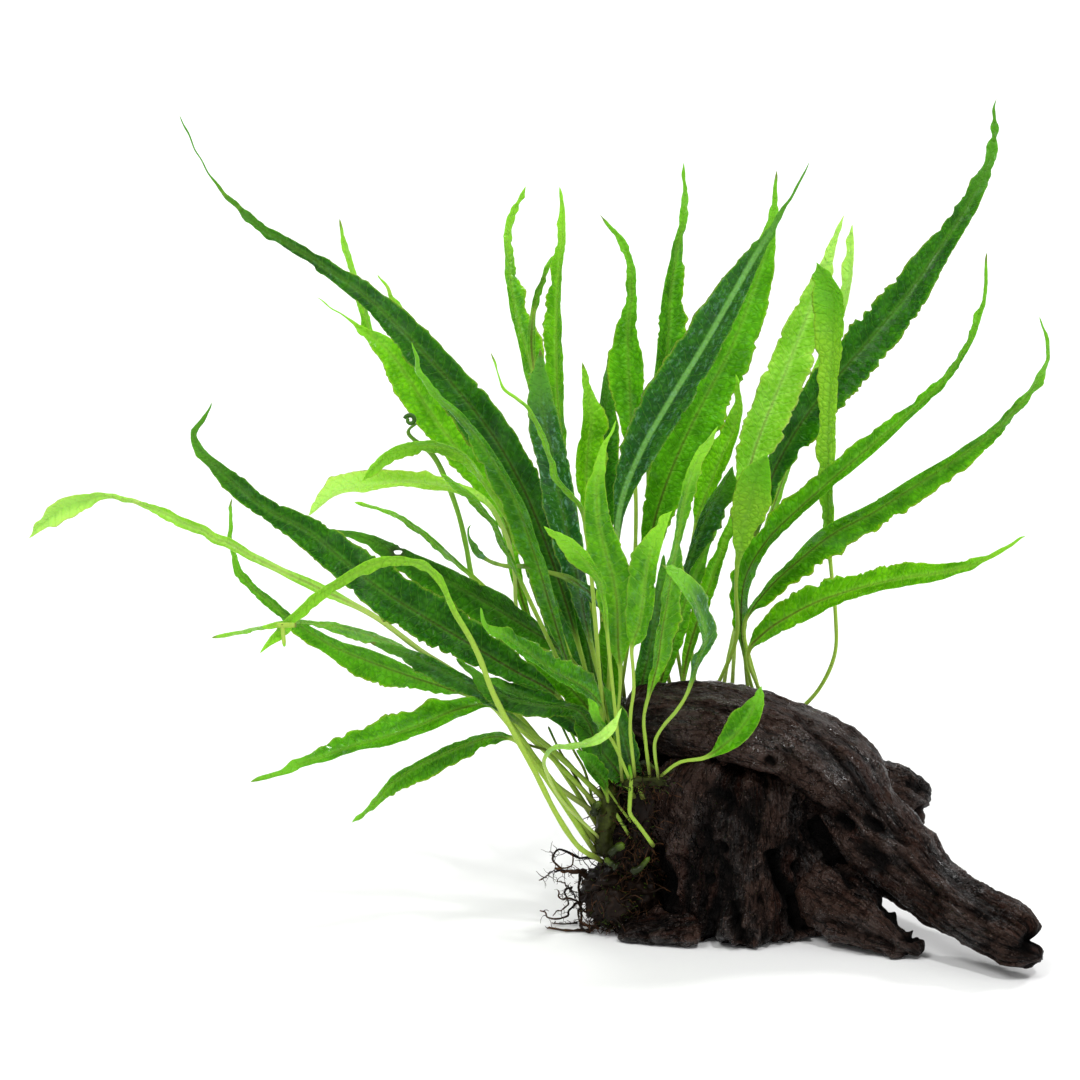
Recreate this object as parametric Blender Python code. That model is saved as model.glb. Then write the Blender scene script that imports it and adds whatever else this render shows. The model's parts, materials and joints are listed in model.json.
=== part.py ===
"""A java fern grown on a branching piece of driftwood, standing on the wood's flat foot.

The wood is split at its forks. Each frond is one closed loft: a stalk that widens into a blade
with raised margins and narrows to a thread at the tip. All fronds grow from two creeping
rhizomes, one up the left side of the wood and one behind its top.
"""

from collections import namedtuple
from math import cos, pi, radians, sin

import bmesh
import bpy
import numpy as np
from mathutils import Vector

MM = 0.001
COLLECTION = "java_fern_on_driftwood"

# The routes below are drawn as (across, up) on a board that leans back and faces an eye point.
# Each drawn point is then slid along its line of sight to the depth that its piece has.
BOARD_LEAN = radians(10.0)
EYE_DISTANCE = 750.0
BOARD_CENTRE = np.array([-45.0, 0.0, 98.6])
BOARD_MIDDLE_DRAWN = np.array([-45.0, 102.5])

TOUCH_GAP = 0.35  # left between pieces that touch
CUTTER_MARGIN = 1.15  # moving corners out by this many gaps moves slanted faces out by one
CURVE_STEPS = 12  # points of a smooth curve between two of its controls
RHIZOME_POINTS = 40  # on a rhizome's axis
RHIZOME_RINGS = {"left": 10, "back": 10, "front": 5}
RHIZOME_RADIUS = 2.3
STALK_START = 3.1  # from a rhizome's axis to where a stalk begins
FROND_STATIONS = 13
STALK_WIDTH, BLADE_WIDTH = 1.6, 5.0  # below the first a frond is all stalk, above the last all blade
STALK_TOP, STALK_BOTTOM = 0.42, 0.42  # half heights of a stalk's section
BLADE_TOP, BLADE_BOTTOM = 0.08, 0.55  # the same where it is all blade
MARGIN_RISE = 0.32  # a margin's rise over the midrib, per unit of half width
LEAST_WIDTH = 1.3  # no frond is narrower than this over its stalk, so its section stays wide

LEAF_DARK = (0.020, 0.120, 0.012)
LEAF_MID = (0.055, 0.250, 0.012)
LEAF_BRIGHT = (0.120, 0.420, 0.015)
LEAF_PALE = (0.330, 0.600, 0.110)
WOOD = (0.022, 0.012, 0.009)
STEM_GREEN = (0.090, 0.150, 0.020)
ROOT_BROWN = (0.030, 0.018, 0.010)

# Depth runs away from the viewer: (at the base, half way, at the tip), then the blade's turn
# about its own line at the base and at the tip, in degrees. "at" is the place on its rhizome.
Frond = namedtuple("Frond", "rhizome at depth turn tone route")

# Routes are (across, up, width) in millimetres from stalk to tip.
FRONDS = {
    "frond_left_high_1": Frond("left", 0.60, (-4, -10, -30), (25, -20), LEAF_DARK, [
        (-35, 75, 2), (-43, 100, 7), (-51, 119, 10), (-61, 134.5, 10.5), (-73, 148, 9),
        (-84.5, 160, 6.5), (-97.5, 170, 4), (-113, 179.5, 2.7), (-123.5, 188, 0.8),
        (-130, 198, 0.6), (-135, 209, 0.5)]),
    "frond_left_high_2": Frond("left", 0.66, (2, 14, 30), (-30, 15), LEAF_BRIGHT, [
        (-44, 75, 1.5), (-50, 89, 3.5), (-53, 105, 4), (-57.5, 115, 6), (-67.5, 127.5, 8.5),
        (-76, 140, 9.5), (-80, 146, 8.5), (-84, 151, 5.5), (-89.5, 155, 1.5), (-101, 163, 0.5)]),
    "frond_left_high_3": Frond("left", 0.53, (-14, -24, -40), (45, 30), LEAF_MID, [
        (-39, 75, 2.5), (-46, 97.5, 5.5), (-49.5, 107.5, 6), (-53, 116, 5.5), (-61.5, 129, 3.5),
        (-71, 139, 2.2), (-74.5, 143, 1.5), (-76, 148, 0.7), (-77, 152, 0.5)]),
    "frond_left_high_4": Frond("left", 0.78, (10, 28, 50), (55, 50), LEAF_BRIGHT, [
        (-50, 100, 1.5), (-82.5, 145, 2.5), (-89, 160, 2.5), (-92, 170, 2.3), (-93.5, 174.5, 2.2),
        (-94, 179, 1.7), (-95, 183, 0.6)]),
    "frond_left_curl": Frond("left", 0.70, (4, 17, 26), (0, 0), STEM_GREEN, [
        (-40, 62.5, 1.2), (-55, 77.5, 1.2), (-62, 93, 1), (-64, 104, 1), (-67.5, 115, 1),
        (-72, 124, 1), (-77, 128, 1), (-78.5, 131, 1), (-77, 134, 1), (-75.5, 132, 1)]),
    "frond_left_arch": Frond("left", 0.57, (-9, -19, -20), (50, 50), LEAF_BRIGHT, [
        (-42, 85, 1.3), (-52, 106, 1.5), (-58, 115, 2.2), (-64.5, 123.5, 3.5), (-69, 126, 3),
        (-74, 126, 3.5), (-79, 125, 3.5), (-84, 123, 2.5), (-87, 121, 1), (-89.5, 117, 0.5)]),
    "frond_left_broad_yellow": Frond("left", 0.63, (-2, 4, 2), (-45, -50), LEAF_PALE, [
        (-49, 77.5, 1.2), (-51, 92.5, 1.3), (-54, 105, 1.5), (-59.5, 113, 2.2), (-65.5, 115, 3),
        (-72.5, 117, 4.2), (-80, 117, 4.8), (-94, 115.5, 5), (-99.5, 112.5, 3.5),
        (-103, 108.5, 0.6)]),
    "frond_left_tail": Frond("left", 0.42, (-24, -34, -44), (40, 40), LEAF_BRIGHT, [
        (-33.5, 105, 1.5), (-39, 114, 2), (-41.5, 119, 2), (-45, 130, 1.3), (-50, 138, 0.8),
        (-54, 140.5, 0.6), (-57, 144, 0.6), (-57, 149.5, 0.5)]),
    "frond_left_thin": Frond("left", 0.51, (-16, -28, -46), (55, 55), LEAF_MID, [
        (-45, 82, 1.3), (-54.5, 102, 1.7), (-57, 107, 2), (-61, 112, 2), (-65.5, 116, 1.7),
        (-70, 119, 0.5)]),
    "frond_low_broad_dark": Frond("left", 0.36, (-20, -26, -42), (-30, 10), LEAF_DARK, [
        (-40, 62.5, 2.5), (-47.5, 67.5, 4.5), (-55, 72, 7.5), (-67.5, 79.5, 11), (-80, 87, 12),
        (-90, 94, 10.5), (-102, 104, 8), (-113, 110, 5.2), (-120, 115.5, 4.5), (-127, 122, 4),
        (-131.5, 127.5, 2), (-132, 131, 0.8), (-127, 137, 0.5)]),
    "frond_low_holed": Frond("left", 0.44, (-19, -5, 6), (35, 25), LEAF_DARK, [
        (-30, 62.5, 1.5), (-41, 76, 3), (-47.5, 80, 7), (-54, 84, 10), (-66, 91, 8.5),
        (-77.5, 97, 6.5), (-87.5, 102.5, 4), (-92.5, 104, 1), (-98, 105, 0.5)]),
    "frond_low_long_pale": Frond("left", 0.20, (-19, -6, 24), (-50, 30), LEAF_PALE, [
        (-43, 43, 1.3), (-57.5, 62.5, 1.4), (-71, 72, 1.5), (-85, 82.5, 2), (-95, 88, 2),
        (-105, 92.5, 5), (-112, 96, 2.8), (-124, 102, 3.5), (-136.5, 108, 2.8), (-148, 113, 1),
        (-152.5, 113, 2.2), (-159, 112.5, 4.5), (-164, 110.5, 5), (-168, 107.5, 2.2),
        (-173, 103, 0.5)]),
    "frond_low_threaded": Frond("left", 0.16, (-15, -3, 38), (40, 30), LEAF_MID, [
        (-41, 47, 1.3), (-52, 60, 1.5), (-65, 64.5, 2.5), (-75, 67.5, 5.5), (-85, 71, 8),
        (-92.5, 74, 6), (-100, 77.5, 4.5), (-110, 85, 3), (-120, 94, 2), (-122.5, 100, 1.5),
        (-122, 109, 0.8), (-122, 113, 0.5)]),
    "frond_low_wavy": Frond("left", 0.24, (-18, -12, 28), (55, 55), LEAF_BRIGHT, [
        (-44, 50, 1.3), (-61, 64, 1.3), (-72.5, 71, 1.5), (-82.5, 77, 3), (-92.5, 80, 3.5),
        (-99, 81.5, 2), (-105, 82, 1.2), (-112.5, 81, 1), (-120, 79.5, 1), (-127, 78, 0.5)]),
    "frond_low_short_dark": Frond("left", 0.28, (-20, -32, -44), (45, 45), LEAF_DARK, [
        (-42, 50, 1.3), (-60, 64.5, 3), (-65, 67.5, 4), (-75, 72.5, 5), (-81, 75, 2.5),
        (-87.5, 77, 0.6)]),
    "frond_low_arching_young": Frond("left", 0.02, (-22, -44, -60), (35, 40), LEAF_BRIGHT, [
        (-37, 27.5, 1.8), (-43, 38, 1.8), (-49, 50, 1.7), (-55, 60, 1.6), (-60, 73, 1.5),
        (-66.5, 85, 1.5), (-70.5, 92.5, 1.7), (-75, 97.5, 2), (-80.5, 98, 2.3), (-87, 96, 3),
        (-95, 92, 3.7), (-102, 87, 4), (-108, 82, 3.5), (-112.5, 77, 2), (-115, 74, 0.5)]),
    "frond_low_outer_1": Frond("left", 0.10, (-20, -32, -52), (-45, -40), LEAF_MID, [
        (-44, 45, 1.3), (-55, 59.5, 1.5), (-60, 61.5, 3), (-65, 60.5, 4.5), (-71, 58, 6),
        (-77.5, 55.5, 6.2), (-85, 53, 6), (-92.5, 51, 4.5), (-103, 47, 2.5), (-112, 44, 1),
        (-117.5, 42, 0.5)]),
    "frond_low_outer_2": Frond("left", 0.055, (-21, -40, -66), (40, 45), LEAF_MID, [
        (-45, 45, 1.3), (-53, 54, 1.5), (-57.5, 53, 4), (-64, 51, 4.8), (-71, 48, 5.5),
        (-77, 45, 5), (-82, 41.5, 3.5), (-86, 37, 2.3), (-92, 31.5, 0.5)]),
    "frond_low_narrow": Frond("left", 0.74, (8, 16, 30), (55, 55), LEAF_BRIGHT, [
        (-45, 77, 1.3), (-61, 92.5, 1.5), (-67.5, 98, 2.3), (-72.5, 103, 2), (-77.5, 106.5, 2),
        (-84, 110, 1.5), (-89, 111, 0.8), (-91.5, 112, 0.4)]),
    "frond_low_front": Frond("left", 0.39, (-24, -38, -50), (-45, -50), LEAF_MID, [
        (-30, 61, 2), (-33, 65, 4.5), (-37, 67.5, 5.5), (-42, 70, 5), (-46, 73, 4.5),
        (-50, 76, 3.8), (-54.5, 79, 2.5), (-58, 80.5, 1), (-60, 82.5, 0.6), (-60, 85.5, 0.4)]),
    "frond_low_twisted": Frond("left", 0.32, (-23, -37, -36), (50, 50), LEAF_DARK, [
        (-34, 58.5, 3.5), (-44, 61, 4), (-51.5, 62.5, 4.5), (-58, 65.5, 4), (-62.5, 70, 2),
        (-66, 73, 0.5)]),
    "frond_middle_1": Frond("left", 0.90, (14, 34, 56), (-50, -45), LEAF_BRIGHT, [
        (-36, 102, 1.5), (-42.5, 125, 3), (-48, 149, 5.5), (-50, 155, 5), (-52, 166, 3.7),
        (-53, 178, 2.5), (-51, 187, 2.2), (-48.5, 191, 0.6)]),
    "frond_middle_2": Frond("left", 0.86, (12, 18, 40), (50, 50), LEAF_BRIGHT, [
        (-36, 100, 1.5), (-40, 130, 3.5), (-41, 145, 4.5), (-41, 160, 4.5), (-40, 174, 2.8),
        (-39, 186, 1.5), (-40, 191, 0.5)]),
    "frond_middle_dark": Frond("left", 0.55, (-12, -15, -18), (25, 15), LEAF_DARK, [
        (-29, 62, 1.5), (-32.5, 77.5, 2.5), (-36, 94, 5.5), (-40, 112.5, 8), (-43.5, 130, 7.5),
        (-45, 137.5, 6.5), (-45, 144, 4.5), (-45, 150.5, 0.6)]),
    "frond_middle_short": Frond("left", 0.82, (10, 8, 2), (-35, -40), LEAF_BRIGHT, [
        (-30, 90, 1.5), (-33, 115, 6), (-33, 124, 7), (-32, 134.5, 5), (-34, 143, 1.5),
        (-34.5, 147, 0.5)]),
    "frond_middle_tall": Frond("left", 0.94, (17, 14, 26), (35, 25), LEAF_MID, [
        (-22, 85, 1.4), (-21, 110, 1.6), (-22, 125, 3), (-22.5, 137.5, 6.5), (-23, 147.5, 8),
        (-23, 157.5, 4.3), (-22, 167.5, 2.8), (-24, 176, 2), (-27, 180, 1), (-30, 184, 0.5)]),
    "frond_middle_hidden": Frond("left", 0.98, (20, 26, 42), (-45, -40), LEAF_DARK, [
        (-27, 90, 1.5), (-28.5, 107.5, 4), (-29, 120, 6), (-28.5, 137.5, 4.5), (-28, 144, 3),
        (-28, 149, 0.5)]),
    "frond_middle_upright": Frond("back", 0.14, (24, 38, 60), (-35, -30), LEAF_MID, [
        (-17, 90, 1.5), (-17.5, 122.5, 3), (-15.5, 132.5, 7), (-13, 149, 8.2), (-12.5, 161, 6.2),
        (-11, 173, 3.7), (-9, 185, 2.5), (-9, 197, 0.5)]),
    "frond_right_broad": Frond("back", 0.06, (24, 20, 34), (-20, 15), LEAF_MID, [
        (-19, 85, 1.5), (-17.5, 101, 4.5), (-14, 115, 10.5), (-6.5, 132.5, 13), (2.5, 150, 12),
        (9, 167, 7.5), (13, 182.5, 3), (14, 195, 0.5)]),
    "frond_right_folded": Frond("left", 0.455, (-22, -16, -20), (30, 15), LEAF_DARK, [
        (-27, 85, 1.5), (-24.5, 112.5, 4), (-18.5, 127, 10), (-10, 141.5, 11.5), (-2, 154.5, 10),
        (5.5, 168, 6.5), (14, 182, 1.8), (22.5, 197, 0.5)]),
    "frond_right_short": Frond("back", 0.30, (24, 16, 8), (45, 40), LEAF_BRIGHT, [
        (-8, 88, 1.5), (-6, 106, 2), (-2, 118, 6), (0.5, 124, 6.5), (4.5, 134, 3.5),
        (4, 144, 0.5)]),
    "frond_right_shaded": Frond("back", 0.22, (24, 6, -4), (-50, -50), LEAF_DARK, [
        (-12, 85, 1.5), (-9, 94, 3), (-3, 109, 5.5), (0.5, 115, 5), (3, 121, 0.6)]),
    "frond_right_pale": Frond("back", 0.54, (24, 24, 24), (25, -20), LEAF_PALE, [
        (4, 82.5, 1.5), (5.5, 110, 4.5), (9, 126, 9.5), (15, 141, 10.8), (21.5, 157.5, 9),
        (27, 172, 3.5), (31, 184, 0.5)]),
    "frond_right_pale_hidden": Frond("back", 0.48, (24, 48, 64), (50, 50), LEAF_PALE, [
        (5, 85, 1.3), (20, 130, 3), (31, 162.5, 3.5), (32, 169, 3), (33, 177, 2),
        (33, 181.5, 0.5)]),
    "frond_right_hooked": Frond("back", 0.97, (22, 14, 8), (45, 40), LEAF_MID, [
        (27, 68.5, 1.3), (29, 80, 1.2), (27.5, 98, 1.3), (27, 108, 3.5), (27, 132.5, 4),
        (28, 150, 5.5), (28, 155, 7.5), (28, 164, 7), (27, 170, 3), (24, 172, 0.5)]),
    "frond_right_long_dark": Frond("back", 0.66, (24, 34, 54), (-25, 20), LEAF_DARK, [
        (6, 87.5, 1.5), (11, 112.5, 4), (18, 128, 9), (27.5, 141, 11.5), (37, 152, 12),
        (47, 164, 10), (55, 175.5, 6.5), (61, 184.5, 5.5), (66, 194.5, 3.8), (69, 204, 1.5),
        (69, 213, 0.5)]),
    "frond_right_outer_1": Frond("back", 0.72, (25, 8, 0), (50, 45), LEAF_MID, [
        (5.5, 77.5, 2), (6.5, 94, 6.5), (13, 104, 5.5), (26.5, 116.5, 4.2), (41, 129, 3.8),
        (57.5, 144, 2.3), (64, 157, 1.5), (67, 168, 0.8), (66.5, 174.5, 0.5)]),
    "frond_right_outer_2": Frond("back", 0.78, (24, -4, -28), (-40, -35), LEAF_MID, [
        (6, 81, 1.5), (13, 91, 4.8), (27, 103, 7), (38, 109, 6.2), (49, 116, 5.5), (64, 126, 3.8),
        (73, 134, 3), (81, 145.5, 1.8), (82.5, 152, 1), (80, 158.5, 0.5)]),
    "frond_right_outer_3": Frond("back", 0.84, (24, -10, -46), (40, 40), LEAF_BRIGHT, [
        (7, 74, 1.5), (18, 84, 6.5), (31, 89.5, 7.5), (45, 93, 5.5), (58.5, 95, 3),
        (67, 98, 1.3), (76.5, 103.5, 0.4)]),
    "frond_right_bent": Frond("back", 0.42, (21, 4, -10), (-20, 15), LEAF_MID, [
        (4, 77.5, 1.3), (4, 90, 1.3), (4.5, 97.5, 2.5), (6, 105, 6), (7.5, 111, 9), (9, 117.5, 8),
        (11, 122.5, 4), (12, 124, 1)]),
    "frond_front_bright": Frond("left", 0.345, (-26, -39, -44), (-20, 20), LEAF_BRIGHT, [
        (-25, 65, 1.3), (-25.5, 77.5, 5), (-26, 89.5, 9.5), (-29, 101, 8), (-31, 112.5, 5.3),
        (-29.5, 124, 2), (-26, 132.5, 0.5)]),
    "frond_front_forked": Frond("front", 0.35, (-27, -42, -50), (40, 35), LEAF_BRIGHT, [
        (-22.5, 56.5, 1.2), (-21.5, 66, 1.2), (-22, 76, 2), (-20, 82.5, 6), (-18, 97.5, 6),
        (-14, 107, 2), (-12, 110, 0.5)]),
    "frond_front_long": Frond("front", 0.62, (-27, -36, -34), (-45, -50), LEAF_BRIGHT, [
        (-19, 59, 1.2), (-16, 69, 3), (-15, 76, 5), (-13, 87.5, 5), (-11, 101, 2.5),
        (-9, 112.5, 3), (-5.5, 123, 2.3), (-0.5, 131, 0.5)]),
    "frond_front_small": Frond("front", 0.08, (-34, -49, -60), (50, 50), LEAF_BRIGHT, [
        (-27.5, 72, 1.2), (-29.5, 90, 1.5), (-34, 97.5, 4), (-41, 104, 2), (-44, 106, 0.5)]),
    "frond_front_glossy": Frond("front", 0.80, (-27, -46, -54), (-50, -50), LEAF_MID, [
        (-16, 53, 1.2), (-9, 62.5, 1.3), (-5, 74, 3), (-3.5, 79, 4.3), (-7.5, 90, 4.3),
        (-12, 94, 2), (-14.5, 96.5, 0.5)]),
    "frond_front_on_wood": Frond("front", 0.97, (-25, -34, -30), (35, 20), LEAF_MID, [
        (-10, 47, 1.2), (-4, 48, 2), (0, 50.5, 3.5), (4, 54, 6), (7, 58, 6), (9, 62, 4),
        (10.5, 66, 0.5)]),
    "frond_front_curled": Frond("left", 0.125, (-24, -48, -50), (30, 40), LEAF_PALE, [
        (-40, 38, 1.2), (-44, 47, 1.2), (-42, 50.5, 1.3), (-37, 51, 1.4), (-30, 53, 2),
        (-26.5, 56.5, 1.6), (-24.5, 60.5, 0.5)]),
    "frond_front_tiny": Frond("front", 0.23, (-27, -50, -50), (40, 40), LEAF_MID, [
        (-26.5, 51.5, 1.2), (-29, 55, 1.8), (-31, 58, 2.5), (-32, 61.5, 2), (-33, 63, 0.5)]),
    "frond_front_stubby": Frond("left", 0.26, (-28, -36, -40), (-35, -35), LEAF_DARK, [
        (-29, 42, 3), (-32, 46, 4.5), (-36, 50, 0.5)]),
}

# Rhizome routes are (across, depth, up).
RHIZOMES = {
    "left": [(-29, -15, 21), (-29, -17, 28), (-28, -18, 35), (-28, -14, 41), (-29, -5, 45),
             (-29, 5, 48), (-27, 14, 51), (-22, 20, 52)],
    "back": [(-16, 21, 52), (-8, 22, 52), (2, 22, 51), (12, 21, 48), (20, 19, 45)],
    "front": [(-25, -24, 42), (-20, -25, 43), (-14, -25.5, 43)],
}


def collection_named(name):
    """Makes a collection under the scene's own."""
    made = bpy.data.collections.new(name)
    bpy.context.scene.collection.children.link(made)
    return made


def clear_scene():
    """Removes every object that the scene starts with."""
    for old in list(bpy.data.objects):
        bpy.data.objects.remove(old)


def material_for(name, colour, roughness):
    """A Principled material of one colour."""
    made = bpy.data.materials.get(name)
    if made is None:
        made = bpy.data.materials.new(name)
        made.use_nodes = True
        shader = made.node_tree.nodes["Principled BSDF"]
        shader.inputs["Base Color"].default_value = (*colour, 1.0)
        shader.inputs["Roughness"].default_value = roughness
        shader.inputs["Metallic"].default_value = 0.0
    return made


def from_board(across, up, depth):
    """The point at that depth on the line of sight through a point of the drawing board."""
    forward = np.array([0.0, cos(BOARD_LEAN), -sin(BOARD_LEAN)])
    upward = np.array([0.0, sin(BOARD_LEAN), cos(BOARD_LEAN)])
    eye = BOARD_CENTRE - EYE_DISTANCE * forward
    offset = np.array([across, up]) - BOARD_MIDDLE_DRAWN
    ray = EYE_DISTANCE * forward + offset[0] * np.array([1.0, 0.0, 0.0]) + offset[1] * upward
    return eye + ray * (depth - eye[1]) / ray[1]


def lengths_along(points):
    """How far along the line each point is, from 0 to 1."""
    steps = np.linalg.norm(np.diff(points, axis=0), axis=1)
    along = np.concatenate([[0.0], np.cumsum(steps)])
    return along / along[-1]


def smooth_line(points, count):
    """Evenly spaced points on a Catmull-Rom curve through the given ones."""
    points = np.asarray(points, float)
    padded = np.vstack([2 * points[0] - points[1], points, 2 * points[-1] - points[-2]])
    pieces = []
    for i in range(len(points) - 1):
        a, b, c, d = padded[i : i + 4]
        t = np.linspace(0, 1, CURVE_STEPS, endpoint=False)[:, None]
        pieces.append(
            0.5 * (2 * b + (c - a) * t + (2 * a - 5 * b + 4 * c - d) * t**2
                   + (3 * b - a - 3 * c + d) * t**3)
        )
    fine = np.vstack([*pieces, points[-1:]])
    along = lengths_along(fine[:, :3])
    wanted = np.linspace(0, 1, count)
    return np.column_stack([np.interp(wanted, along, fine[:, k]) for k in range(fine.shape[1])])


def directions_of(line):
    """The unit direction at each point of a line."""
    ahead = np.gradient(line, axis=0)
    return ahead / np.linalg.norm(ahead, axis=1)[:, None]


def smooth_step(low, high, value):
    """0 below low, 1 above high, and a smooth rise between."""
    t = np.clip((value - low) / (high - low), 0, 1)
    return t * t * (3 - 2 * t)


def loft_mesh(name, rings):
    """A closed mesh through rings of equally many points, with flat ends."""
    mesh = bpy.data.meshes.new(name)
    form = bmesh.new()
    rows = [[form.verts.new(Vector(p) * MM) for p in ring] for ring in rings]
    sides = len(rows[0])
    for low, high in zip(rows[:-1], rows[1:]):
        for i in range(sides):
            j = (i + 1) % sides
            form.faces.new((low[i], low[j], high[j], high[i]))
    form.faces.new(rows[0][::-1])
    form.faces.new(rows[-1])
    bmesh.ops.triangulate(form, faces=form.faces[:])
    bmesh.ops.recalc_face_normals(form, faces=form.faces[:])
    form.to_mesh(mesh)
    form.free()
    return mesh


def add_object(name, mesh, material, group):
    """Puts a mesh in the collection as a named object with one material."""
    mesh.materials.append(material)
    made = bpy.data.objects.new(name, mesh)
    group.objects.link(made)
    return made


def rhizome_line(name):
    """The axis of one rhizome as evenly spaced points."""
    return smooth_line(RHIZOMES[name], RHIZOME_POINTS)


def stalk_start(rhizome, at, towards):
    """The point just off a rhizome's skin from which a stalk leaves for another point."""
    line = rhizome_line(rhizome)
    here = np.array([np.interp(at, np.linspace(0, 1, len(line)), line[:, k]) for k in range(3)])
    nearest = np.argmin(np.linalg.norm(line - here, axis=1))
    axis = directions_of(line)[nearest]
    away = towards - here
    away = away - axis * np.dot(away, axis)
    return here + STALK_START * away / np.linalg.norm(away)


def frond_rings(frond):
    """Four points a station: left margin, midrib above, right margin, midrib below."""
    drawn = np.array(frond.route, float)
    reach = 0.15 + 0.85 * lengths_along(drawn[:, :2])
    base, middle, tip = frond.depth
    depths = base + reach * (4 * middle - 3 * base - tip) + 2 * reach**2 * (base + tip - 2 * middle)
    places = np.array([from_board(x, z, y) for (x, z), y in zip(drawn[:, :2], depths)])
    start = stalk_start(frond.rhizome, frond.at, places[0])
    controls = np.vstack([[*start, LEAST_WIDTH], np.column_stack([places, drawn[:, 2]])])
    line = smooth_line(controls, FROND_STATIONS)
    centre = line[:, :3]
    width = np.maximum(line[:, 3], 0.5)
    width[:-2] = np.maximum(width[:-2], LEAST_WIDTH)
    ahead = directions_of(centre)
    toward_eye = np.array([0.0, -cos(BOARD_LEAN), sin(BOARD_LEAN)])
    side = np.cross(ahead, toward_eye)
    side /= np.linalg.norm(side, axis=1)[:, None]
    face = np.cross(side, ahead)
    turn = np.radians(np.interp(np.linspace(0, 1, FROND_STATIONS), (0, 1), frond.turn))[:, None]
    across = side * np.cos(turn) + face * np.sin(turn)
    above = face * np.cos(turn) - side * np.sin(turn)
    blade = smooth_step(STALK_WIDTH, BLADE_WIDTH, width)[:, None]
    half = (0.5 * width)[:, None] / np.maximum(np.cos(turn), 0.5)
    rise = MARGIN_RISE * half * blade
    slim = np.minimum(1.0, width / LEAST_WIDTH)[:, None]
    top = (STALK_TOP + (BLADE_TOP - STALK_TOP) * blade) * slim
    bottom = (STALK_BOTTOM + (BLADE_BOTTOM - STALK_BOTTOM) * blade) * slim
    return np.stack(
        [centre - half * across + rise * above, centre + top * above,
         centre + half * across + rise * above, centre - bottom * above], axis=1,
    )


def add_fronds(group):
    """One closed solid for each frond, stalk and blade together."""
    tones = {LEAF_DARK: "leaf_dark", LEAF_MID: "leaf_mid", LEAF_BRIGHT: "leaf_bright",
             LEAF_PALE: "leaf_pale", STEM_GREEN: "stem_green"}
    for name, frond in FRONDS.items():
        material = material_for(tones[frond.tone], frond.tone, 0.35)
        add_object(name, loft_mesh(name, frond_rings(frond)), material, group)


def add_rhizomes(group):
    """The creeping stems, each a curve with a round bevel and filled caps."""
    for name, rings in RHIZOME_RINGS.items():
        line = rhizome_line(name)[:: RHIZOME_POINTS // rings]
        curve = bpy.data.curves.new(f"rhizome_{name}", "CURVE")
        curve.dimensions = "3D"
        curve.bevel_depth = RHIZOME_RADIUS * MM
        curve.bevel_resolution = 1
        curve.use_fill_caps = True
        curve.materials.append(material_for("stem_green", STEM_GREEN, 0.6))
        spline = curve.splines.new("POLY")
        spline.points.add(len(line) - 1)
        for point, place in zip(spline.points, line):
            point.co = (*(place * MM), 1.0)
        group.objects.link(bpy.data.objects.new(f"rhizome_{name}", curve))


# Wood stations are (across, up, depth, half breadth, half height), drawn like the routes.
TRUNK = [
    (4, -4, -4, 23, 20), (4.5, 4, -4, 22.5, 21), (6, 10, -4, 23, 20.5), (7.5, 17, -4, 24, 19.5),
    (8.5, 24, -4, 25.5, 19), (9, 31, -3, 26.5, 19), (8, 38, -3, 28, 18), (6, 43.5, -3, 27, 17),
    (3, 47, -3, 22, 15), (2, 49, -3, 15, 10),
]
SLAB = [
    (-22, 57, 0, 9, 5), (-19, 57.5, 0, 14, 7.4), (-10, 57.2, -1, 17, 8.4), (2, 55.5, -2, 17, 9.4),
    (13, 51.5, -3, 17, 10), (23, 47, -4, 17, 10.5), (31, 42, -6, 15, 10.5), (37, 36.5, -8, 11, 8),
]
LIMB = [
    (31, 35, -6, 12, 9), (38, 29.5, -10, 13, 10.5), (45, 22, -15, 11, 9.5), (51, 16.5, -21, 9, 7.2),
    (57, 12.2, -27, 8.5, 6.8), (63, 9, -33, 8.5, 7.2), (70, 5, -39, 8, 7.4),
    (75.5, 1.5, -44, 6.6, 6), (79.5, -1.5, -48, 4.4, 4.2),
]
STUB = [
    (24, 16, -12, 9, 8), (30, 12.5, -17, 8.5, 8), (36, 8, -22, 7, 7), (42, 4.3, -26, 5.5, 5.8),
    (47, 1, -30, 3.6, 3.8), (50.5, -1, -32, 1.6, 1.8),
]
PLANK = [
    (20, 38, 14, 5, 9), (30, 38.5, 17, 5.5, 10), (38, 38, 19, 5.5, 10.5), (45, 37, 20, 5, 10),
    (50, 34.5, 21, 3.5, 6.5),
]
FOOT = [
    (-2, 6, -13, 9, 8.5), (-10, 4, -15, 10, 7.5), (-17, 3.2, -16, 8, 5.6), (-22, 3.4, -15.5, 5.5, 4),
    (-25.5, 4, -15, 2.6, 2),
]
FLUTES = ((3, 0.07, 0.4), (5, 0.05, 1.9), (8, 0.035, 4.1))  # waves round a section, depth, phase


def wood_rings(stations, sides, breadth_axis=None):
    """Fluted oval sections, each square to the line or, with a breadth axis, level."""
    stations = np.array(stations, float)
    centre = np.array([from_board(*station[:3]) for station in stations])
    ahead = directions_of(centre)
    if breadth_axis is None:
        breadth = np.cross(ahead, (0.0, 0.0, 1.0))
    else:
        breadth = np.tile(np.array(breadth_axis, float), (len(ahead), 1))
    breadth /= np.linalg.norm(breadth, axis=1)[:, None]
    height = np.cross(breadth, ahead) if breadth_axis is None else np.array([[0.0, 1.0, 0.0]])
    turn = np.linspace(0, 2 * pi, sides, endpoint=False)
    run = lengths_along(centre)[:, None]
    flute = 1.0 + sum(depth * np.sin(waves * turn[None] + phase + 2.0 * run)
                      for waves, depth, phase in FLUTES)
    out = (stations[:, 3:4] * flute * np.cos(turn)[None])[:, :, None] * breadth[:, None]
    out = out + (stations[:, 4:5] * flute * np.sin(turn)[None])[:, :, None] * height[:, None]
    return centre[:, None] + out


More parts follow.
